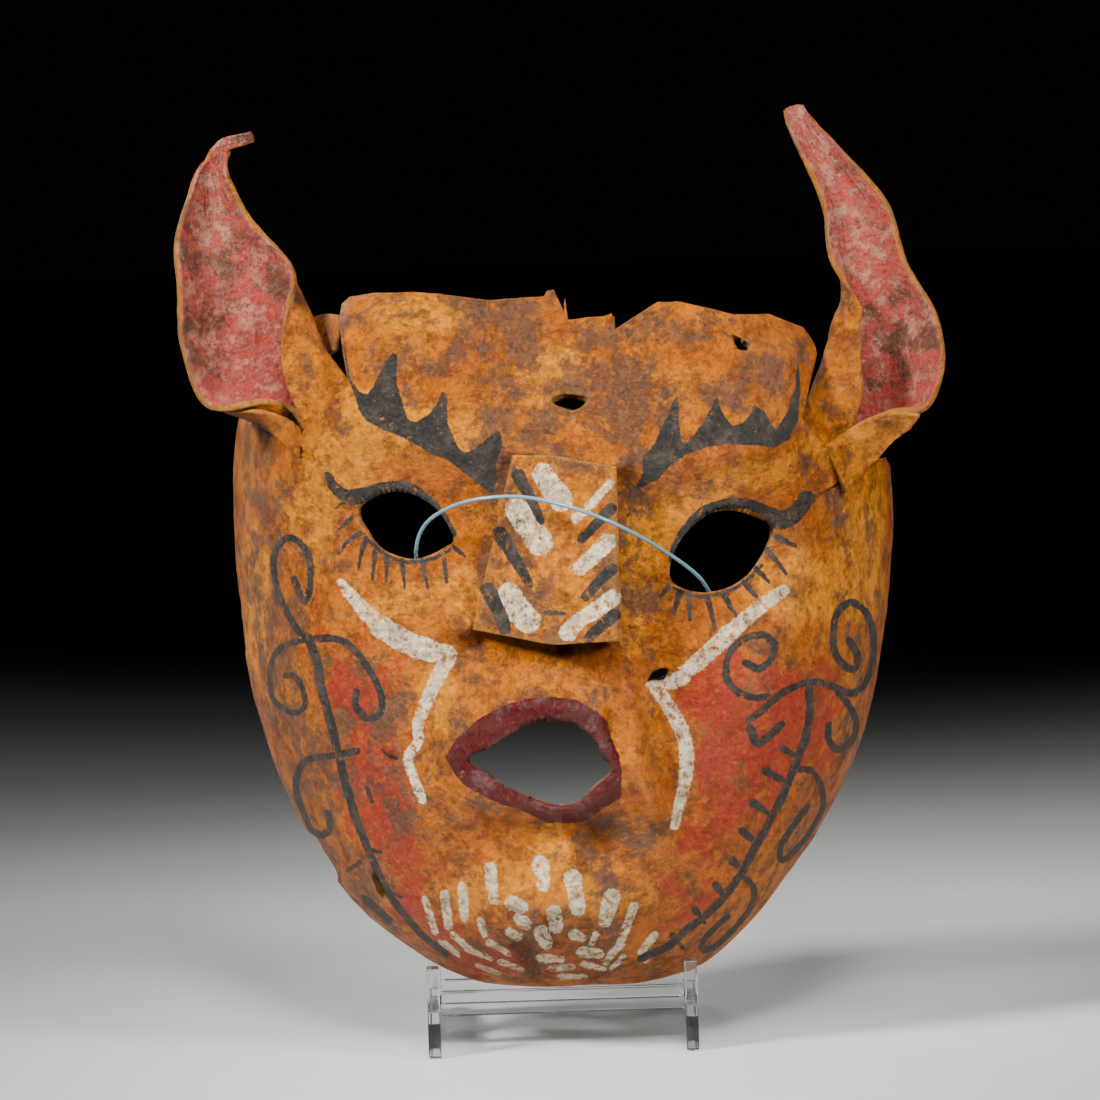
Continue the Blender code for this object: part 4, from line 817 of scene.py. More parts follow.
def add_strokes(mesh, name, strokes, flat):
    """Stores, on every face's corners, the offset from the brush stroke nearest to that face."""
    corner = np.empty(len(mesh.loops), np.int32)
    mesh.loops.foreach_get("vertex_index", corner)
    total = np.empty(len(mesh.polygons), np.int32)
    mesh.polygons.foreach_get("loop_total", total)
    face = np.repeat(np.arange(len(total)), total)
    middle = [np.bincount(face, flat[corner, k]) / total for k in (0, 1)]
    best = np.full(len(total), STROKE_REACH)
    owner = np.full(len(total), -1)
    parts = short_strokes(strokes)
    for s, (start, end, line) in enumerate(parts):
        low, high = line.min(axis=0) - STROKE_REACH, line.max(axis=0) + STROKE_REACH
        near = np.ones(len(total), bool)
        for spot, least, most in zip(middle, low, high):
            near &= (spot > least) & (spot < most)
        near = np.flatnonzero(near)
        away = stroke_offsets(middle[0][near], middle[1][near], line, start, end)[0]
        nearer = away < best[near]
        best[near[nearer]] = away[nearer]
        owner[near[nearer]] = s
    values = np.tile([FAR, 0.0, 0.0], (len(corner), 1))
    owned = owner[face]
    for s, (start, end, line) in enumerate(parts):
        mine = owned == s
        x, h = flat[corner[mine], 0], flat[corner[mine], 1]
        values[mine] = np.stack(stroke_offsets(x, h, line, start, end)[1:], axis=1)
    layer = mesh.attributes.new(name, "FLOAT_VECTOR", "CORNER")
    layer.data.foreach_set("vector", values.reshape(-1).astype(np.float32))


def within(x, h, outline):
    """Which spots lie inside a closed outline."""
    p = np.asarray(outline, float)
    inside = np.zeros(x.shape, bool)
    for (ax, ah), (bx, bh) in zip(p, np.roll(p, -1, axis=0)):
        if ah == bh:
            continue
        crosses = ((ah > h) != (bh > h)) & (x < (bx - ax) * (h - ah) / (bh - ah) + ax)
        inside ^= crosses
    return inside


def area_field(x, h, outlines):
    """Distance outside the nearest painted area; negative inside it."""
    best = np.full(x.shape, FAR)
    for outline in outlines:
        away = off_line(x, h, outline, True)
        best = np.minimum(best, np.where(within(x, h, outline), -away, away))
    return best


def tint(x, h, spots):
    """How strongly soft patches of colour cover each spot."""
    total = np.zeros(x.shape)
    for *place, strength in spots:
        total += strength * soft_patch(x, h, *place)
    return np.clip(total, 0.0, 1.0)


def fine_relief(x, h):
    """Creases, lumps and cracks too fine for the solid."""
    rise = np.zeros(x.shape)
    for line, width, height in CREASES:
        rise += height * np.exp(-((off_line(x, h, line) / width) ** 2))
    rise -= GROOVE_DEEP * np.exp(-(((off_line(x, h, MOUTH, True) - LIP_OUT) / GROOVE_WIDE) ** 2))
    for cx, ch, wide, height in SPOTS:
        rise += height * np.exp(-((x - cx) ** 2 + (h - ch) ** 2) / wide**2)
    return rise


def wrinkles(points, coarse, depth):
    """Uneven swelling of dried hide: the coarse swell, smaller ones, ridges and a fine one."""
    out = np.zeros(len(points))
    for i, p in enumerate(points):
        v = Vector(p)
        out[i] = (
            0.55 * noise.noise(v / coarse)
            + 0.26 * noise.noise(v / 5.2)
            + 0.2 * abs(noise.noise(v / 3.1))
            + 0.08 * noise.noise(v / 1.5)
        )
    return out * depth


def on_outline(x, h, outline):
    """The nearest places on a closed outline."""
    p = np.vstack([outline, outline[:1]])
    best = np.full(x.shape, HUGE)
    near_x, near_h = x.copy(), h.copy()
    for start, end in zip(p[:-1], p[1:]):
        _, across, up = nearest_on(x, h, start, end)
        away = np.hypot(across, up)
        nearer = away < best
        best = np.where(nearer, away, best)
        near_x = np.where(nearer, x - across, near_x)
        near_h = np.where(nearer, h - up, near_h)
    return near_x, near_h


def four_around(grid, step):
    """The four neighbours that meet at each spot, on a grid that closes along its columns."""
    beside = np.roll(grid, step, axis=1)
    return grid[:-1], grid[1:], beside[:-1], beside[1:]


def face_grid():
    """Bearings and turns of the fine grid, and which of its cells are hide."""
    even = np.arange(FINE_COLUMNS) * 360.0 / FINE_COLUMNS
    corners = np.concatenate([bearing(np.array(e, float)) for e in (TOP_EDGE, TEAR)])
    near = np.min(np.abs(even[:, None] - corners[None, :]), axis=1)
    at = np.sort(np.concatenate([even[near > CORNER_CLEAR_DEG], corners]))
    at = at[np.concatenate([[True], np.diff(at) > SAME_DEG])]
    reach, _, squareness, turn = bowl_values(at)
    phi = turned_rows(at, last_turn(at, reach, squareness, turn), FINE_ROWS)
    around = np.broadcast_to(at, phi.shape).copy()
    kept = np.ones((FINE_ROWS - 1, len(at)), bool)
    front = face_surface(around, phi)
    for outline in OPENINGS:
        line = smooth_line(outline, 6, closed=True)
        x, h = front[..., 0], front[..., 1]
        middle_x, middle_h = (sum(four_around(v, -1)) / 4 for v in (x, h))
        gone = within(middle_x, middle_h, line) & (phi[:-1] < FRONT_TURN)
        kept &= ~gone
        cells = np.zeros((FINE_ROWS + 1, len(at)), bool)
        cells[1:-1] = gone
        touching = four_around(cells, 1)
        rim = np.any(touching, axis=0) & ~np.all(touching, axis=0)
        qx, qh = on_outline(x[rim], h[rim], line)
        spots = np.stack([qx, qh], axis=1)
        where = bearing(spots)
        far = np.hypot(qx - MIDDLE[0], qh - MIDDLE[1])
        r, _, sq, _ = bowl_values(where)
        around[rim] = where
        phi[rim] = np.arcsin(np.clip(far / r, 0.0, 0.9999) ** (sq / 2))
        front = face_surface(around, phi)
    return around, phi, kept


def add_values(mesh, values):
    """Stores named numbers on the vertices for the paint."""
    for name, numbers in values.items():
        layer = mesh.attributes.new(name, "FLOAT", "POINT")
        layer.data.foreach_set("value", np.asarray(numbers, np.float32))


def linked(name, data):
    """A new object in the scene."""
    ob = bpy.data.objects.new(name, data)
    bpy.context.scene.collection.objects.link(ob)
    return ob


def closed_mesh(name, points, faces, look):
    """A closed solid of one material, its faces turned outwards."""
    mesh = bpy.data.meshes.new(name)
    mesh.from_pydata([tuple(p) for p in points], [], faces)
    mesh.materials.append(look)
    mesh.calc_loop_triangles()
    p = np.asarray(points)
    t = np.array([tri.vertices[:] for tri in mesh.loop_triangles])
    volume = np.sum(p[t[:, 0]] * np.cross(p[t[:, 1]], p[t[:, 2]]))
    if volume < 0:
        mesh.flip_normals()
    return linked(name, mesh)


def shown(name, points, faces, look, values, node, flat=None):
    """A smooth piece with its paint values, in place of its node; flat is where strokes fall."""
    ob = closed_mesh(name, points, faces, look)
    mesh = ob.data
    mesh.polygons.foreach_set("use_smooth", [True] * len(mesh.polygons))
    add_values(mesh, values)
    painted = flat is not None
    for kind, strokes in (("ink", INK), ("cream", CREAM)):
        add_strokes(mesh, kind, strokes if painted else [], flat if painted else points[:, :2])
    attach(ob, "root")
    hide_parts(node)
    return ob


def bare(count, **known):
    """Paint values for a piece: none but the known ones."""
    values = {k: np.full(count, FAR) for k in ("brow", "lip")}
    values.update({k: np.zeros(count) for k in ("blush", "grime", "fresh", "rim", "inner", "red")})
    values.update(known)
    return values


def rims(faces, front, back, normals, bulge):
    """Rounded strips that close the open edges of a sheet, and their extra points."""
    seen = {side: True for f in faces for side in zip(f, f[1:] + f[:1])}
    edges = [e for e in seen if (e[1], e[0]) not in seen]
    out = {}
    for a, b in edges:
        side = np.cross(front[b] - front[a], normals[a])
        for k in (a, b):
            out[k] = out.get(k, 0.0) + side
    extra, place, strips = [], {}, []
    count = len(front)
    for k, side in out.items():
        side = side / max(np.linalg.norm(side), TINY)
        through = back[k] - front[k]
        place[k] = (2 * count + len(extra), 2 * count + len(extra) + 1)
        extra += [front[k] + share * through + side * bulge for share in RIM_SHARES]
    for a, b in edges:
        (a1, a2), (b1, b2) = place[a], place[b]
        strips += [(b, a, a1, b1), (b1, a1, a2, b2), (b2, a2, count + a, count + b)]
    return np.array(extra), strips, list(out)


def closed_sheet(faces, front, back, normals, bulge, edge_share, strip_share):
    """A sheet closed around its edges: points, faces, sides, raw rim, and its edge points.

    Its side is 0 in front, 1 at the back and a half between them.
    """
    extra, strips, edge = rims(faces, front, back, normals, bulge)
    count = len(front)
    points = np.vstack([front, back, extra])
    every = faces + [tuple(count + k for k in f[::-1]) for f in faces] + strips
    side = np.repeat([0.0, 1.0, 0.5], [count, count, len(extra)])
    rim = np.zeros(len(points))
    rim[edge] = edge_share
    rim[2 * count:] = strip_share
    return points, every, side, rim, edge


def open_grid(rows, columns):
    """The four-cornered faces of an open grid of points."""
    starts = [r * columns for r in range(rows - 1)]
    return [(a + i, a + columns + i, a + columns + i + 1, a + i + 1)
            for a in starts for i in range(columns - 1)]


def face_piece(looks, look):
    """The face: its fine grid with relief, wrinkles, creases, openings and paint."""
    around, phi, kept = face_grid()
    rows, n = phi.shape
    smooth = face_surface(around, phi)
    back = inner_surface(around, phi)
    through = back - smooth
    through = through / np.maximum(np.linalg.norm(through, axis=-1, keepdims=True), TINY)
    x, h = smooth[..., 0], smooth[..., 1]
    swell = wrinkles(smooth.reshape(-1, 3), FACE_SWELL, looks.wrinkle_depth / MM).reshape(x.shape)
    facing = np.clip(np.cos(np.minimum(phi, 1.5)) * 3.0, 0.0, 1.0)
    fine = fine_relief(x, h) * facing + swell
    front = smooth - through * fine[..., None]
    back = back - through * (0.5 * swell)[..., None]
    top = face_surface(np.array([0.0]), np.array([1e-5]))
    points = np.vstack([top, front.reshape(-1, 3)])
    behind = np.vstack([top + [0.0, 0.0, HIDE], back.reshape(-1, 3)])
    inward = np.vstack([[0.0, 0.0, 1.0], through.reshape(-1, 3)])
    faces = [(0, 1 + i, 1 + (i + 1) % n) for i in range(n)]
    for r in range(rows - 1):
        a, b = 1 + r * n, 1 + (r + 1) * n
        faces += [(a + i, b + i, b + (i + 1) % n, a + (i + 1) % n) for i in range(n) if kept[r, i]]
    everything, every, side, rim, _ = closed_sheet(faces, points, behind, -inward, 0.3, 0.6, 1.0)
    used = np.zeros(len(everything), bool)
    for f in every:
        used[list(f)] = True
    new = np.cumsum(used) - 1
    every = [tuple(int(new[k]) for k in f) for f in every]
    x, h = everything[:, 0], everything[:, 1]
    values = bare(
        len(everything),
        brow=area_field(x, h, BROWS),
        lip=area_field(x, h, [LIP_LINE]),
        blush=tint(x, h, BLUSH),
        grime=tint(x, h, GRIME_AND_SHADE),
        fresh=tint(x, h, FRESH),
        rim=rim,
        inner=side == 1.0,
    )
    values = {k: v[used] for k, v in values.items()}
    everything = everything[used]
    spots = placed(everything)
    shown("face", spots, every, look, values, "mask_shell", everything[:, :2])


def smooth_down(grid, per):
    """A grid made fine down its columns."""
    return np.stack([smooth_line(grid[:, k], per) for k in range(grid.shape[1])], axis=1)


def net_grid(net, per):
    """A fine grid through a net of points."""
    return smooth_down(np.stack([smooth_line(row, per) for row in np.array(net, float)]), per)


def fibred(middle, depth):
    """The grid swollen along its normals like torn fibrous hide."""
    rows, columns = middle.shape[:2]
    rise = np.zeros((rows, columns))
    for r in range(rows):
        for c in range(columns):
            v = Vector(middle[r, c])
            rise[r, c] = (
                0.7 * noise.noise(v / 13.0)
                + 0.34 * noise.noise(Vector((c * 0.42, r * 0.09, 3.0)))
                + 0.22 * noise.noise(v / 3.0)
            )
    calm = np.minimum(1.0, np.minimum(np.arange(rows), 6) / 6.0)[:, None]
    return middle + grid_normals(middle) * (rise * calm * depth)[..., None]


def leaf(middle, half, bulge):
    """A closed sheet about a grid: points, faces, side and raw rim of every point."""
    n = grid_normals(middle)
    front = (middle - n * half).reshape(-1, 3)
    back = (middle + n * half).reshape(-1, 3)
    faces = open_grid(*middle.shape[:2])
    flat = n.reshape(-1, 3)
    test = faces[len(faces) // 2]
    wound = np.cross(front[test[1]] - front[test[0]], front[test[3]] - front[test[0]])
    sign = 1.0 if np.dot(wound, flat[test[0]]) > 0 else -1.0
    points, every, side, rim, edge = closed_sheet(faces, front, back, sign * flat, bulge, 0.15, 0.8)
    rim[[len(front) + k for k in edge]] = 0.15
    return points, every, side, rim


def ear_piece(name, net, folds, node, looks, look):
    """One ear, a rolled leaf of hide with its fibrous side inside, and the folds at its root."""
    depth = looks.wrinkle_depth / MM
    middle = fibred(net_grid(net, EAR_STEPS), depth)
    towards = np.mean(grid_normals(middle)[:, EAR_STEPS, 2]) < 0
    rows, columns = middle.shape[:2]
    along = np.linspace(0.0, 1.0, rows)[:, None, None]
    tip = np.clip((along - EAR_EVEN) / (1.0 - EAR_EVEN), 0.0, 1.0)
    half = EAR_HIDE / 2 * (1.0 - EAR_THINNER * tip)
    points, every, side, rim = leaf(middle, half, 0.25)
    low = 1.0 - np.repeat(np.linspace(0.0, 1.0, rows), columns)
    low = np.concatenate([low, low, np.full(len(points) - 2 * len(low), 0.4)])
    red = np.where(side == 0.5, 0.0, side if towards else 1.0 - side)
    band = 0.75 * np.exp(-(((low - 0.55) / 0.13) ** 2))
    grime = 0.4 * (1 - red) + red * (band + np.clip(0.9 - 12 * low, 0.0, 1.0))
    own = [low, red, rim, np.full(len(points), 0.55), grime]
    for fold, clean, dirt_and_shade in folds:
        middle = fibred(net_grid(fold, FOLD_STEPS), 0.6 * depth)
        more, faces, _, edge = leaf(middle, EAR_HIDE * 0.4, 0.2)
        every = every + [tuple(len(points) + k for k in f) for f in faces]
        points = np.vstack([points, more])
        added = (0.0, 0.0, edge, clean, dirt_and_shade)
        own = [np.append(v, np.broadcast_to(a, len(more))) for v, a in zip(own, added)]
    low, red, rim, fresh, grime = own
    values = bare(
        len(points),
        red=red,
        rim=rim,
        blush=np.clip((low - 0.45) * 1.3, 0.0, 0.8) * red,
        fresh=fresh * (1 - red) * 0.6,
        grime=grime,
    )
    shown(name, placed(points), every, look, values, node)


def clear_of_hide(tree, spots):
    """The depth that stays in front of the mask at every one of the spots."""
    return min(hide_depth(tree, spot) for spot in spots) - GAP


def held_back(tree, start, end, near, far):
    """Moves the start of a straight run forward until the run to its end clears the mask."""
    for share in (0.06, 0.12, 0.2, 0.4, 0.6, 0.8):
        x = start[0] + (end[0] - start[0]) * share
        free = clear_of_hide(tree, [(x, start[1] + b) for b in (-3.0, 0.0, 3.0)]) - 0.2
        near = min(near, (free - share * far) / (1 - share))
    return near


def nose_rows(tree):
    """Sections of the folded nose piece from the brow down."""
    top_depth = clear_of_hide(tree, [NOSE_TOP[1]]) - NOSE_HIDE - NOSE_RISE_TOP
    bottom_depth = clear_of_hide(tree, [NOSE_BOTTOM[1]]) - NOSE_HIDE - NOSE_RISE_BOTTOM
    half = (NOSE_TOP[1][1] - NOSE_BOTTOM[1][1]) / NOSE_STEPS / 2
    out = []
    for k in range(NOSE_STEPS + 1):
        t = k / NOSE_STEPS
        left, ridge, fold = (
            np.array(a) * (1 - t) + np.array(b) * t for a, b in zip(NOSE_TOP, NOSE_BOTTOM)
        )
        crest = top_depth * (1 - t) + bottom_depth * t
        sides = []
        for x, step in ((left[0], 1.0), (fold[0], -1.0)):
            h = left[1] if step > 0 else fold[1]
            steps = (-2 * half, -half, 0.0, half, 2 * half)
            around = [(x + step * a, h + b) for a in (-1.0, 0.5, 2.0, 4.0) for b in steps]
            sides.append(clear_of_hide(tree, around) - 0.6)
        side = held_back(tree, left, ridge, sides[0], crest + NOSE_HIDE)
        far = sides[1]
        inner = (fold[0] - NOSE_HIDE, fold[1])
        near = min(crest + NOSE_FALL, far - NOSE_HIDE - 0.4)
        near = held_back(tree, inner, ridge, near + NOSE_HIDE, crest + NOSE_HIDE) - NOSE_HIDE
        out.append(
            [
                (left[0], left[1], side - NOSE_HIDE),
                (ridge[0], ridge[1], crest),
                (fold[0], fold[1], near),
                (fold[0], fold[1], far),
                (inner[0], fold[1], far),
                (inner[0], fold[1], near + NOSE_HIDE),
                (ridge[0], ridge[1], crest + NOSE_HIDE),
                (left[0] + 0.6, left[1], side),
            ]
        )
    return out


def hide_depth(tree, spot):
    """Depth of the front of the mask at a spot across and up."""
    start = placed(np.array([spot[0], spot[1], AHEAD]))
    along = placed(np.array([spot[0], spot[1], 0.0])) - start
    along = along / np.linalg.norm(along)
    hit = tree.ray_cast(Vector(start), Vector(along))
    return FACE_DEPTH if hit[3] is None else hit[3] / MM + AHEAD


def soft_fold(left, ridge, near, far):
    """One side of a section of the nose, swollen a little between its corners."""
    swell = np.array([0.0, 0.0, -NOSE_PUFF])
    chain = [left, (left + ridge) / 2 + swell, ridge, (ridge + near) / 2 + swell, near, far]
    return smooth_line(chain, NOSE_SPAN)


def nose_skin(tree, looks, look):
    """The folded nose, with soft folds and its stripes."""
    sections = np.array(nose_rows(tree), float)
    front, back = (
        smooth_down(np.stack([soft_fold(*corners) for corners in side]), NOSE_DOWN)
        for side in (sections[:, :4], sections[:, :3:-1])
    )
    rows, columns = front.shape[:2]
    rough = wrinkles(front.reshape(-1, 3), NOSE_SWELL, 0.7 * looks.wrinkle_depth / MM)
    front[..., 2] -= rough.reshape(rows, columns)
    front, back = front.reshape(-1, 3), back.reshape(-1, 3)
    wound = np.cross(front[1 + columns] - front[0], front[1] - front[0])
    normals = np.tile([0.0, 0.0, 1.0 if wound[2] > 0 else -1.0], (len(front), 1))
    everything, every, side, rim, _ = closed_sheet(
        open_grid(rows, columns), front, back, normals, 0.2, 0.8, 1.0
    )
    x, h = everything[:, 0], everything[:, 1]
    across = np.tile(np.arange(columns), rows)
    # A pale raw-edge colour along the nose's crest and its right fold: wear of the folds, partly a
    # painted highlight.
    ridge_wear_and_highlight = 0.2 * np.exp(-((across - 2 * NOSE_SPAN) / 1.3) ** 2)
    fold_wear_and_highlight = 0.7 * np.exp(-((across - 4 * NOSE_SPAN) / 1.6) ** 2)
    count = len(front)
    rim[:count] = np.maximum(rim[:count], ridge_wear_and_highlight + fold_wear_and_highlight)
    values = bare(
        len(everything),
        grime=tint(x, h, NOSE_GRIME),
        fresh=np.full(len(everything), 0.4),
        rim=rim,
        inner=side == 1.0,
    )
    spots = placed(everything)
    shown("nose", spots, every, look, values, "nose_piece", everything[:, :2])


def put(tree, kind, **settings):
    """A new node with its settings."""
    node = tree.nodes.new("ShaderNode" + kind)
    for name, value in settings.items():
        setattr(node, name, value)
    return node


def feed(tree, socket, source):
    """Sets a socket to a number or a colour, or links it to another."""
    if isinstance(source, bpy.types.NodeSocket):
        tree.links.new(source, socket)
    elif hasattr(source, "__len__"):
        socket.default_value = (*source[:3], 1.0) if socket.type == "RGBA" else tuple(source)
    else:
        socket.default_value = source


def maths(tree, operation, *numbers, clamp=False):
    """A value worked out from one or two others."""
    node = put(tree, "Math", operation=operation, use_clamp=clamp)
    for socket, value in zip(node.inputs, numbers):
        feed(tree, socket, value)
    return node.outputs[0]


def times(tree, a, b):
    """One value times another."""
    return maths(tree, "MULTIPLY", a, b)


def plus(tree, a, b, clamp=False):
    """The sum of two values."""
    return maths(tree, "ADD", a, b, clamp=clamp)


def minus(tree, a, b):
    """One value less another."""
    return maths(tree, "SUBTRACT", a, b)


def ramped(tree, value, low, high, start=0.0, end=1.0):
    """A value turned from one range to another, kept within it."""
    node = put(tree, "MapRange", clamp=True)
    for socket, number in zip(node.inputs, (value, low, high, start, end)):
        feed(tree, socket, number)
    return node.outputs["Result"]


def blended(tree, share, a, b):
    """Two colours blended by a share of the second."""
    node = put(tree, "Mix", data_type="RGBA", blend_type="MIX", clamp_factor=True)
    for index, source in ((0, share), (6, a), (7, b)):
        feed(tree, node.inputs[index], source)
    return node.outputs[2]


def specks(tree, where, kind):
    """Noise from 0 to 1; its kind is specks to the metre, detail and roughness."""
    node = put(tree, "TexNoise")
    for name, source in zip(("Vector", "Scale", "Detail", "Roughness"), (where, *kind)):
        feed(tree, node.inputs[name], source)
    return node.outputs["Fac"]


def centred(tree, where, kind):
    """Noise about zero."""
    return minus(tree, specks(tree, where, kind), 0.5)


def new_group(name, inputs, outputs):
    """A node group with named inputs and outputs."""
    tree = bpy.data.node_groups.new(name, "ShaderNodeTree")
    for label, kind, value in inputs:
        socket = tree.interface.new_socket(name=label, in_out="INPUT", socket_type="NodeSocket" + kind)
        if value is not None:
            socket.default_value = value
    for label, kind in outputs:
        tree.interface.new_socket(name=label, in_out="OUTPUT", socket_type="NodeSocket" + kind)
    return tree, tree.nodes.new("NodeGroupInput"), tree.nodes.new("NodeGroupOutput")


def worn_paint_group():
    """Paint with a ragged edge and rubbed places, from its distance field in millimetres."""
    tree, given, result = new_group(
        "Worn paint",
        [
            ("Distance", "Float", FAR),
            ("Ragged", "Float", 0.8),
            ("Wear", "Float", 0.35),
            ("Where", "Vector", None),
        ],
        [("Mask", "Float")],
    )
    where = given.outputs["Where"]
    fine = times(tree, centred(tree, where, PAINT_FLAKES), given.outputs["Ragged"])
    wide = times(tree, centred(tree, where, PAINT_SWAY), 0.9)
    edge = plus(tree, given.outputs["Distance"], plus(tree, fine, wide))
    mask = ramped(tree, edge, 0.12, -0.14)
    low = minus(tree, given.outputs["Wear"], 0.05)
    high = plus(tree, given.outputs["Wear"], 0.07)
    rub = ramped(tree, specks(tree, where, PAINT_RUBS), low, high)
    tree.links.new(times(tree, mask, rub), result.inputs["Mask"])
    return tree


def grain_group():
    """Height of the pebbled, fibrous grain of dried hide."""
    tree, given, result = new_group(
        "Hide grain", [("Where", "Vector", None), ("Fibre", "Float", 0.3)], [("Height", "Float")]
    )
    where = given.outputs["Where"]
    pebbles = put(tree, "TexVoronoi", feature="F1")
    feed(tree, pebbles.inputs["Vector"], where)
    feed(tree, pebbles.inputs["Scale"], PEBBLES)
    base = times(tree, pebbles.outputs["Distance"], -0.35)
    base = plus(tree, base, times(tree, specks(tree, where, GRAIN), 2.8))
    ridge = maths(tree, "ABSOLUTE", centred(tree, where, RIDGES))
    base = plus(tree, base, times(tree, ridge, -3.2))
    crack = maths(tree, "ABSOLUTE", centred(tree, where, CRACKS))
    base = plus(tree, base, ramped(tree, crack, 0.0, 0.02, -0.4, 0.0))
    squeeze = put(tree, "Mapping", vector_type="POINT")
    feed(tree, squeeze.inputs["Vector"], where)
    feed(tree, squeeze.inputs["Scale"], FIBRE_STRETCH)
    fibre = specks(tree, squeeze.outputs[0], FIBRES)
    base = plus(tree, base, times(tree, fibre, given.outputs["Fibre"]))
    tree.links.new(base, result.inputs["Height"])
    return tree


def tone_group():
    """Cloudy tones of stained hide, dark pits, and the blots that give stains a ragged edge."""
    names = ("Cloud", "Mottle", "Pits", "Blot", "Flecks")
    tree, given, result = new_group(
        "Hide tones", [("Where", "Vector", None)], [(name, "Float") for name in names]
    )
    where = given.outputs["Where"]
    for name, kind, low, high in TONES:
        tone = ramped(tree, specks(tree, where, kind), low, high)
        tree.links.new(tone, result.inputs[name])
    tree.links.new(centred(tree, where, BLOTS), result.inputs["Blot"])
    return tree


def stain_group():
    """How strongly a stain shows: its share, broken up by the blots."""
    tree, given, result = new_group(
        "Ragged stain",
        [("Share", "Float", 0.0), ("Blot", "Float", 0.0), ("Break", "Float", 2.6)],
        [("Mask", "Float")],
    )
    broken = times(tree, given.outputs["Blot"], given.outputs["Break"])
    mask = ramped(tree, plus(tree, given.outputs["Share"], broken), 0.36, 0.62)
    tree.links.new(mask, result.inputs["Mask"])
    return tree


GROUPS = {
    "Worn paint": worn_paint_group,
    "Hide grain": grain_group,
    "Hide tones": tone_group,
    "Ragged stain": stain_group,
}


def called(tree, group, **inputs):
    """A node that uses a shared group, which is built at its first use."""
    node = tree.nodes.new("ShaderNodeGroup")
    node.node_tree = bpy.data.node_groups.get(group) or GROUPS[group]()
    for name, value in inputs.items():
        feed(tree, node.inputs[name], value)
    return node


def stored(tree, name, output="Fac"):
    """A value stored on the piece."""
    return put(tree, "Attribute", attribute_type="GEOMETRY", attribute_name=name).outputs[output]


def stored_distance(tree, name):
    """Distance outside the edge of the nearest brush stroke, from its stored offset and half width."""
    parts = put(tree, "SeparateXYZ")
    tree.links.new(stored(tree, name, "Vector"), parts.inputs[0])
    x, y, half = parts.outputs
    square = plus(tree, times(tree, x, x), times(tree, y, y))
    return minus(tree, maths(tree, "SQRT", square), half)


def new_material(name, **settings):
    """A material, its nodes and its shader, with plain settings given by socket names."""
    material = bpy.data.materials.new(name)
    material.use_nodes = True
    tree = material.node_tree
    shader = next(n for n in tree.nodes if n.type == "BSDF_PRINCIPLED")
    for socket, value in settings.items():
        feed(tree, shader.inputs[socket.replace("_", " ")], value)
    return material, tree, shader


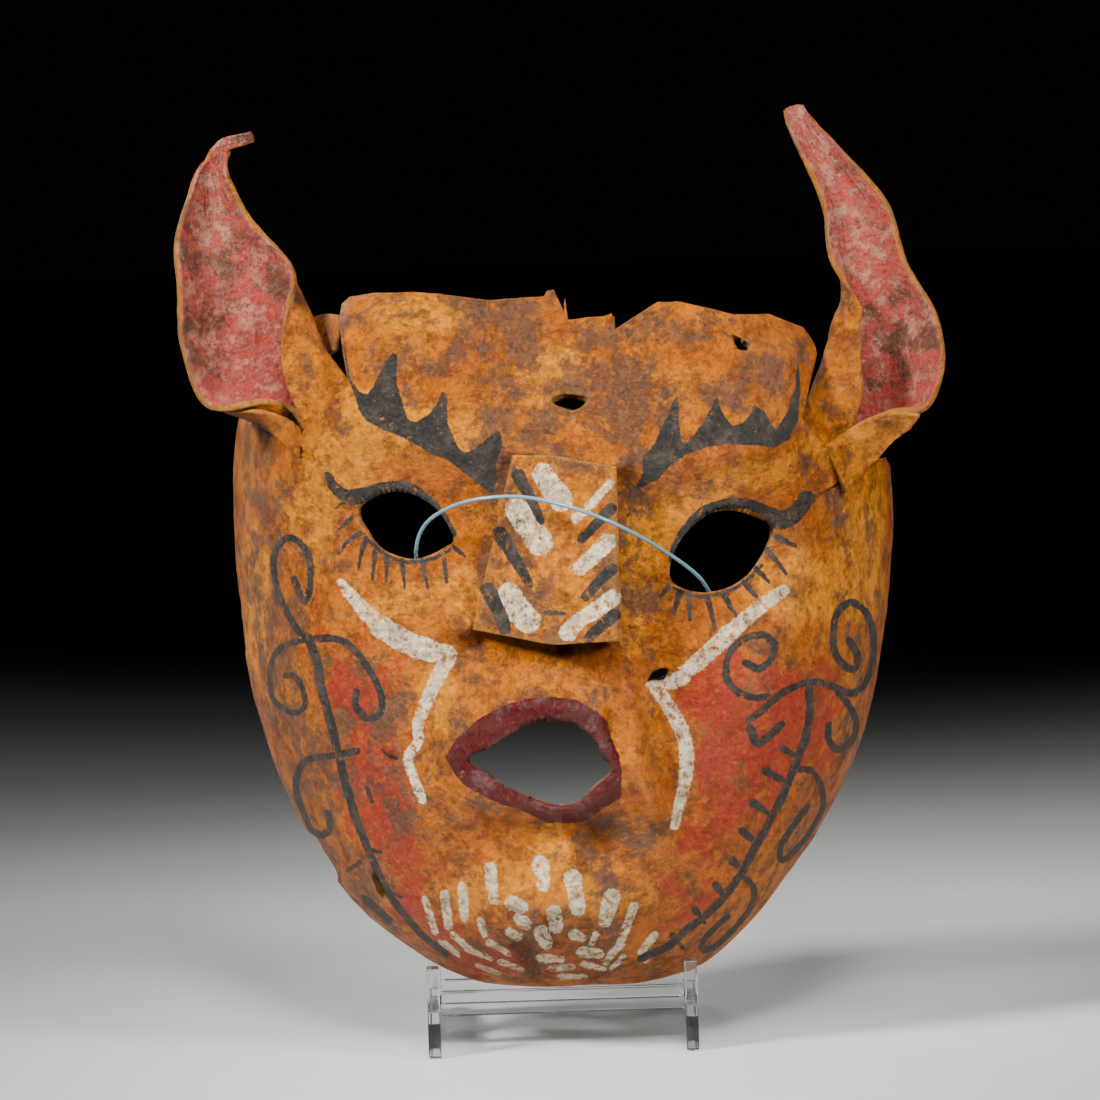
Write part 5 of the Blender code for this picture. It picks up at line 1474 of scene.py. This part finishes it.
def hide_material(name, looks, fibre):
    """Painted dried hide; the paint comes from values stored on the piece."""
    material, tree, shader = new_material(name, Specular_IOR_Level=0.22)
    where = put(tree, "TexCoord").outputs["Object"]
    cloud, mottle, pits, blot, flecks = called(tree, "Hide tones", Where=where).outputs

    def stain(share, ragged):
        """The share of a stain that shows, broken up by the blots."""
        node = called(tree, "Ragged stain", Share=share, Blot=blot, Break=ragged)
        return node.outputs["Mask"]

    colour = blended(tree, cloud, looks.ochre, looks.orange)
    clean = stain(stored(tree, "fresh"), -2.2)
    colour = blended(tree, times(tree, clean, 0.9), colour, looks.yellow)
    colour = blended(tree, times(tree, mottle, 0.7), colour, looks.brown)
    flush = stain(times(tree, stored(tree, "blush"), 0.72), -3.4)
    colour = blended(tree, times(tree, flush, 0.85), colour, looks.blush)
    fuzz = ramped(tree, specks(tree, where, EAR_FUZZ), 0.44, 0.6)
    red = blended(tree, fuzz, looks.ear_red, looks.ear_grey)
    holes = ramped(tree, specks(tree, where, EAR_PITS), 0.42, 0.34, 0.0, 0.8)
    red = blended(tree, holes, red, looks.grime)
    deep = times(tree, stored(tree, "blush"), 0.85)
    red = blended(tree, deep, red, looks.ear_deep)
    colour = blended(tree, stored(tree, "red"), colour, red)
    # Brown-grey dirt from the stored grime values; some of them are painted shade right of and under the
    # nose, below the mouth and along the chin crease.
    spread = plus(tree, times(tree, stored(tree, "grime"), 0.36), 0.19)
    dirt_and_shade = stain(spread, 3.8)
    colour = blended(tree, times(tree, dirt_and_shade, 0.82), colour, looks.grime)
    colour = blended(tree, times(tree, flecks, 0.2), colour, looks.rubbed)
    colour = blended(tree, times(tree, pits, 0.6), colour, looks.pit)
    # Raw colour of cut edges; along the nose's crest and right fold the same colour is partly a painted
    # highlight.
    raw = times(tree, stored(tree, "rim"), ramped(tree, mottle, 0.0, 1.0, 0.55, 1.0))
    colour = blended(tree, raw, colour, looks.raw_edge)
    wear = looks.paint_wear
    masks = {}
    for field, paint, ragged, rub, dusty in (
        ("lip", looks.lip, 1.2, wear - 0.05, 0.12),
        ("brow", looks.ink, 1.3, wear - 0.05, 0.22),
        ("cream", looks.cream, 2.2, wear + 0.05, 0.5),
        ("ink", looks.ink, 1.1, wear - 0.01, 0.28),
    ):
        away = stored_distance(tree, field) if field in ("ink", "cream") else stored(tree, field)
        node = called(tree, "Worn paint", Distance=away, Ragged=ragged, Wear=rub, Where=where)
        masks[field] = node.outputs["Mask"]
        shade = blended(tree, times(tree, mottle, dusty), paint, looks.dust)
        if field == "lip":
            shade = blended(tree, times(tree, dirt_and_shade, 0.7), shade, looks.lip_worn)
        colour = blended(tree, masks[field], colour, shade)
    back = blended(tree, mottle, looks.back, looks.brown)
    colour = blended(tree, stored(tree, "inner"), colour, back)
    tree.links.new(colour, shader.inputs["Base Color"])
    rough = ramped(tree, mottle, 0.0, 1.0, looks.roughness - 0.08, looks.roughness + 0.1)
    painted = plus(tree, masks["ink"], masks["brow"], clamp=True)
    rough = plus(tree, rough, times(tree, painted, 0.08))
    rough = plus(tree, rough, times(tree, stored(tree, "red"), 0.14), clamp=True)
    tree.links.new(rough, shader.inputs["Roughness"])
    height = called(tree, "Hide grain", Where=where, Fibre=fibre).outputs["Height"]
    height = plus(tree, height, times(tree, masks["cream"], 0.35))
    height = plus(tree, height, times(tree, pits, -0.5))
    bump = put(tree, "Bump")
    bump.inputs["Strength"].default_value = 0.9
    bump.inputs["Distance"].default_value = looks.grain_depth
    tree.links.new(height, bump.inputs["Height"])
    tree.links.new(bump.outputs[0], shader.inputs["Normal"])
    return material


def clear_material(name, colour, roughness, ior, clear):
    """Clear stuff of one tint; clear is the share of light that goes through."""
    return new_material(
        name, Base_Color=colour, Roughness=roughness, IOR=ior, Transmission_Weight=clear
    )[0]


def cad_tree(node):
    """A CAD node, ready for measuring."""
    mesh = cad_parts[node].data
    return BVHTree.FromPolygons([v.co[:] for v in mesh.vertices], [p.vertices[:] for p in mesh.polygons])


def line_piece(look):
    """The clear line on its route, tied at its knot."""
    spots = placed(smooth_line(LINE_ROUTE, LINE_STEPS))
    curve = bpy.data.curves.new("line", "CURVE")
    curve.dimensions = "3D"
    spline = curve.splines.new("POLY")
    spline.points.add(len(spots) - 1)
    for point, spot in zip(spline.points, spots):
        point.co = (*spot, 1.0)
    curve.bevel_depth = LINE_THICK / 2 * MM
    curve.bevel_resolution = 4
    curve.use_fill_caps = True
    curve.materials.append(look)
    ob = linked("line", curve)
    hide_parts("hanging_line")
    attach(ob, "root")
    knot = knot_piece(look)


def knot_piece(look):
    """The small overhand knot, a lump of tight turns around the two ends."""
    middle = np.array(KNOT_AT, float)
    ends = smooth_line(LINE_ROUTE, LINE_STEPS)
    half = min(np.linalg.norm(e - middle) for e in (ends[0], ends[-1])) - GAP
    steps, around = KNOT_STEPS, KNOT_SIDES
    rings = []
    for k in range(steps + 1):
        t = k / steps
        a = 2 * math.pi * KNOT_TURNS * t
        along = half * 0.8 * (2 * t - 1)
        wide = KNOT_WIDE * math.sin(math.pi * (0.12 + 0.76 * t))
        rings.append(middle + np.array([along, wide * math.cos(a), wide * math.sin(a)]))
    rings = np.array(rings)
    ahead = np.gradient(rings, axis=0)
    ahead /= np.linalg.norm(ahead, axis=1, keepdims=True)
    side = np.cross(ahead, [1.0, 0.0, 0.0])
    side /= np.maximum(np.linalg.norm(side, axis=1, keepdims=True), 1e-6)
    up = np.cross(side, ahead)
    points, faces = [], []
    for centre, s, u in zip(rings, side, up):
        for i in range(around):
            a = 2 * math.pi * i / around
            points.append(centre + KNOT_STRAND * (math.cos(a) * s + math.sin(a) * u))
    for k in range(steps):
        for i in range(around):
            j = (i + 1) % around
            faces.append((k * around + i, (k + 1) * around + i, (k + 1) * around + j, k * around + j))
    faces.append(tuple(range(around)))
    faces.append(tuple(steps * around + i for i in range(around))[::-1])
    return shown("knot", placed(np.array(points)), faces, look, {}, "line_knot")


def plate(name, x, outline, thick, look):
    """A flat plate standing in the Y-Z plane, thick across X."""
    n = len(outline)
    x += ACROSS
    points = [(x - thick / 2, y, z) for y, z in outline] + [(x + thick / 2, y, z) for y, z in outline]
    faces = [tuple(range(n)), tuple(range(2 * n - 1, n - 1, -1))]
    faces += [(i, n + i, n + (i + 1) % n, (i + 1) % n) for i in range(n)]
    return closed_mesh(name, np.array(points) * MM, faces, look)


def side_outline():
    """Lip, foot and back rest of a side plate."""
    lean = math.tan(math.radians(BACK_LEAN))
    rise = BACK_HIGH - FOOT_HIGH
    y = STAND_Y
    return [
        (y, 0.0),
        (y + FOOT_LONG, 0.0),
        (y + FOOT_LONG, FOOT_HIGH * 0.6),
        (y + BACK_NEAR + BACK_WIDE + 6.0, FOOT_HIGH),
        (y + BACK_NEAR + BACK_WIDE + lean * rise, BACK_HIGH),
        (y + BACK_NEAR + lean * rise, BACK_HIGH),
        (y + BACK_NEAR, FOOT_HIGH),
        (y + LIP_DEEP, FOOT_HIGH),
        (y + LIP_DEEP, LIP_HIGH),
        (y, LIP_HIGH),
    ]


def bar(name, y, top, look):
    """A bar across between the side plates."""
    left = PLATE_LEFT_X + PLATE / 2 + GAP
    right = PLATE_RIGHT_X - PLATE / 2 - GAP
    near, far, low = y - PLATE / 2, y + PLATE / 2, top - REST_HIGH
    outline = [(near, low), (far, low), (far, top), (near, top)]
    return plate(name, (left + right) / 2, outline, right - left, look)


def dressed(ob, node):
    """Softens a stand piece's edges and puts it in place of its node."""
    edge = ob.modifiers.new("edge", "BEVEL")
    edge.width = 0.5 * MM
    edge.segments = 3
    edge.limit_method = "ANGLE"
    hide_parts(node)
    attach(ob, "root")


def soft_light(name, place, target, size, power, spread):
    """One soft light, turned towards its target."""
    light = bpy.data.lights.new(name, "AREA")
    light.shape = "RECTANGLE"
    light.size, light.size_y = size
    light.energy = power
    light.spread = math.radians(spread)
    light.color = LIGHT_COLOUR
    ob = linked(name, light)
    ob.location = place
    ob.rotation_euler = (Vector(target) - Vector(place)).to_track_quat("-Z", "Y").to_euler()


def photo_camera(looks):
    """The camera of the reference view: a long lens, a little above, with a slight roll."""
    data = bpy.data.cameras.new("camera")
    ob = linked("camera", data)
    target = Vector(placed(np.array([VIEW_X, VIEW_UP, VIEW_DEPTH])))
    tilt, roll = math.radians(LEAN_DEG), math.radians(VIEW_ROLL_DEG)
    along = Vector((0.0, math.cos(tilt), -math.sin(tilt)))
    up = Vector((0.0, math.sin(tilt), math.cos(tilt)))
    right = Vector((1.0, 0.0, 0.0))
    r = right * math.cos(roll) - up * math.sin(roll)
    u = right * math.sin(roll) + up * math.cos(roll)
    turn = Matrix((r, u, -along)).transposed()
    ob.matrix_world = Matrix.Translation(target - along * looks.camera_distance) @ turn.to_4x4()
    data.sensor_width = SENSOR
    data.lens = SENSOR * looks.camera_distance / (VIEW_WIDE * MM)
    data.clip_end = 50.0
    bpy.context.scene.camera = ob


def floor_piece(looks):
    """The pale floor, a hair below the feet."""
    mesh = bpy.data.meshes.new("floor")
    s = looks.floor_size / 2
    mesh.from_pydata([(-s, -s, 0.0), (s, -s, 0.0), (s, s, 0.0), (-s, s, 0.0)], [], [(0, 1, 2, 3)])
    mesh.materials.append(new_material("floor", Base_Color=looks.floor_colour, Roughness=0.6)[0])
    ob = linked("floor", mesh)
    ob.location.z = -0.5 * MM


def colour_property(name, value, about):
    """A colour that a user can change."""
    return bpy.props.FloatVectorProperty(
        name=name, description=about, subtype="COLOR", size=3, min=0.0, max=1.0, default=value
    )


def length_property(name, value, about):
    """A length in metres that a user can change."""
    return bpy.props.FloatProperty(
        name=name, description=about, unit="LENGTH", subtype="DISTANCE", min=0.0, default=value,
        precision=5,
    )


class CatMaskLooks(bpy.types.PropertyGroup):
    """Colours and small sizes of the mask, the stand and the stage."""

    ochre: colour_property("Ochre", (0.46, 0.122, 0.0005), "Ochre of the painted hide")
    orange: colour_property("Orange", (0.36, 0.082, 0.0005), "Darker orange of the hide")
    brown: colour_property("Brown", (0.08, 0.021, 0.003), "Brown mottling")
    yellow: colour_property("Yellow", (0.62, 0.2, 0.0005), "Cleaner yellow patches")
    blush: colour_property("Blush", (0.31, 0.022, 0.009), "Dark red blush on cheeks and chin")
    # The dirt colour is also the painted shade right of and under the nose, below the mouth and in the
    # chin crease.
    grime: colour_property("Grime", (0.09, 0.046, 0.028), "Brown-grey dirt")
    rubbed: colour_property("Rubbed", (0.62, 0.26, 0.02), "Flecks where the paint is rubbed thin")
    pit: colour_property("Pits", (0.035, 0.018, 0.012), "Dark pits of the hide")
    # Also the pale line along the nose's crest and right fold, partly a painted highlight.
    raw_edge: colour_property("Raw edge", (0.40, 0.17, 0.035), "Cut edge of the hide")
    back: colour_property("Back", (0.24, 0.13, 0.06), "Unpainted back of the hide")
    ink: colour_property("Charcoal", (0.024, 0.022, 0.02), "Dark brush lines")
    cream: colour_property("Cream", (0.80, 0.65, 0.42), "Light brush strokes")
    dust: colour_property("Dust", (0.15, 0.105, 0.07), "Dust rubbed into the paint")
    lip: colour_property("Lips", (0.07, 0.0006, 0.001), "Paint around the mouth")
    lip_worn: colour_property("Worn lips", (0.14, 0.062, 0.066), "Rubbed places around the mouth")
    ear_red: colour_property("Ear red", (0.44, 0.05, 0.038), "Fibrous side of the ears")
    ear_grey: colour_property("Ear grey", (0.42, 0.2, 0.14), "Rubbed places inside the ears")
    ear_deep: colour_property("Ear root", (0.26, 0.008, 0.009), "Deep red near the roots of the ears")
    paint_wear: bpy.props.FloatProperty(
        name="Paint wear", description="How much paint is rubbed off", min=0.0, max=1.0, default=0.39
    )
    roughness: bpy.props.FloatProperty(
        name="Roughness", description="Roughness of the hide", min=0.1, max=0.9, default=0.49
    )
    wrinkle_depth: length_property("Wrinkle depth", 0.0009, "Swell of the uneven hide")
    grain_depth: length_property("Grain depth", 0.0013, "Height of the fine grain")
    camera_distance: length_property("Camera distance", 2.6, "From the camera to the face")
    floor_size: length_property("Floor size", 8.0, "Width of the floor")
    floor_colour: colour_property("Floor", (0.5, 0.5, 0.495), "Pale floor")
    light_power: bpy.props.FloatProperty(
        name="Light", description="Power of the main light", unit="POWER", min=0.0, default=1.82
    )


class CATMASK_OT_stage(bpy.types.Operator):
    """Floor, lights and camera"""

    bl_idname = "cat_mask.stage"
    bl_label = "Stage"

    def execute(self, context):
        looks = context.scene.cat_mask
        photo_camera(looks)
        floor_piece(looks)
        for name, place, aim, size, share, spread in LIGHTS:
            soft_light(name, place, aim, size, looks.light_power * share, spread)
        world = bpy.data.worlds.new("studio")
        world.use_nodes = True
        shade = next(n for n in world.node_tree.nodes if n.type == "BACKGROUND")
        shade.inputs["Color"].default_value = ROOM_COLOUR
        shade.inputs["Strength"].default_value = 1.0
        context.scene.world = world
        return {"FINISHED"}


class CATMASK_OT_line(bpy.types.Operator):
    """The clear line through the eyes and its knot"""

    bl_idname = "cat_mask.line"
    bl_label = "Line"

    def execute(self, context):
        line_piece(clear_material("clear line", (0.13, 0.29, 0.35), 0.2, 1.5, 0.35))
        return {"FINISHED"}


class CATMASK_OT_face(bpy.types.Operator):
    """The painted face"""

    bl_idname = "cat_mask.face"
    bl_label = "Face"

    def execute(self, context):
        looks = context.scene.cat_mask
        face_piece(looks, hide_material("face hide", looks, 0.2))
        return {"FINISHED"}


class CATMASK_OT_ears(bpy.types.Operator):
    """The two rolled ears"""

    bl_idname = "cat_mask.ears"
    bl_label = "Ears"

    def execute(self, context):
        looks = context.scene.cat_mask
        look = hide_material("ear hide", looks, 0.9)
        ear_piece("ear_l", LEFT_EAR, LEFT_FOLDS, "ear_left", looks, look)
        ear_piece("ear_r", RIGHT_EAR, RIGHT_FOLDS, "ear_right", looks, look)
        return {"FINISHED"}


class CATMASK_OT_nose(bpy.types.Operator):
    """The folded nose piece"""

    bl_idname = "cat_mask.nose"
    bl_label = "Nose"

    def execute(self, context):
        looks = context.scene.cat_mask
        nose_skin(cad_tree("mask_shell"), looks, hide_material("nose hide", looks, 0.4))
        return {"FINISHED"}


class CATMASK_OT_stand(bpy.types.Operator):
    """The clear stand"""

    bl_idname = "cat_mask.stand"
    bl_label = "Stand"

    def execute(self, context):
        look = clear_material("clear acrylic", (0.96, 0.98, 0.98), 0.02, 1.49, 1.0)
        dressed(plate("post_left", PLATE_LEFT_X, side_outline(), PLATE, look), "stand_left")
        dressed(plate("post_right", PLATE_RIGHT_X, side_outline(), PLATE, look), "stand_right")
        dressed(bar("bar_front", STAND_Y + REST_Y, REST_TOP, look), "stand_rest")
        dressed(bar("bar_back", STAND_Y + FOOT_LONG - TIE_IN, TIE_TOP, look), "stand_tie")
        return {"FINISHED"}


class CATMASK_PT_panel(bpy.types.Panel):
    """Sizes, colours and pieces of the mask"""

    bl_idname = "CATMASK_PT_panel"
    bl_label = "Cat mask"
    bl_space_type = "VIEW_3D"
    bl_region_type = "UI"
    bl_category = "Cat mask"

    def draw(self, context):
        looks = context.scene.cat_mask
        for name in CatMaskLooks.__annotations__:
            self.layout.prop(looks, name)
        for operator in OPERATORS:
            self.layout.operator(operator.bl_idname)


OPERATORS = (
    CATMASK_OT_stage,
    CATMASK_OT_line,
    CATMASK_OT_face,
    CATMASK_OT_ears,
    CATMASK_OT_nose,
    CATMASK_OT_stand,
)
CLASSES = (CatMaskLooks, *OPERATORS, CATMASK_PT_panel)


def register():
    """Adds the looks, the operators and the panel."""
    for cls in CLASSES:
        bpy.utils.register_class(cls)
    bpy.types.Scene.cat_mask = bpy.props.PointerProperty(type=CatMaskLooks)


def unregister():
    """Takes them away again."""
    del bpy.types.Scene.cat_mask
    for cls in reversed(CLASSES):
        bpy.utils.unregister_class(cls)


def main():
    """Makes the stage and every piece."""
    register()
    bpy.ops.cat_mask.stage()
    bpy.ops.cat_mask.line()
    bpy.ops.cat_mask.face()
    bpy.ops.cat_mask.ears()
    bpy.ops.cat_mask.nose()
    bpy.ops.cat_mask.stand()


if __name__ == "__main__":
    main()
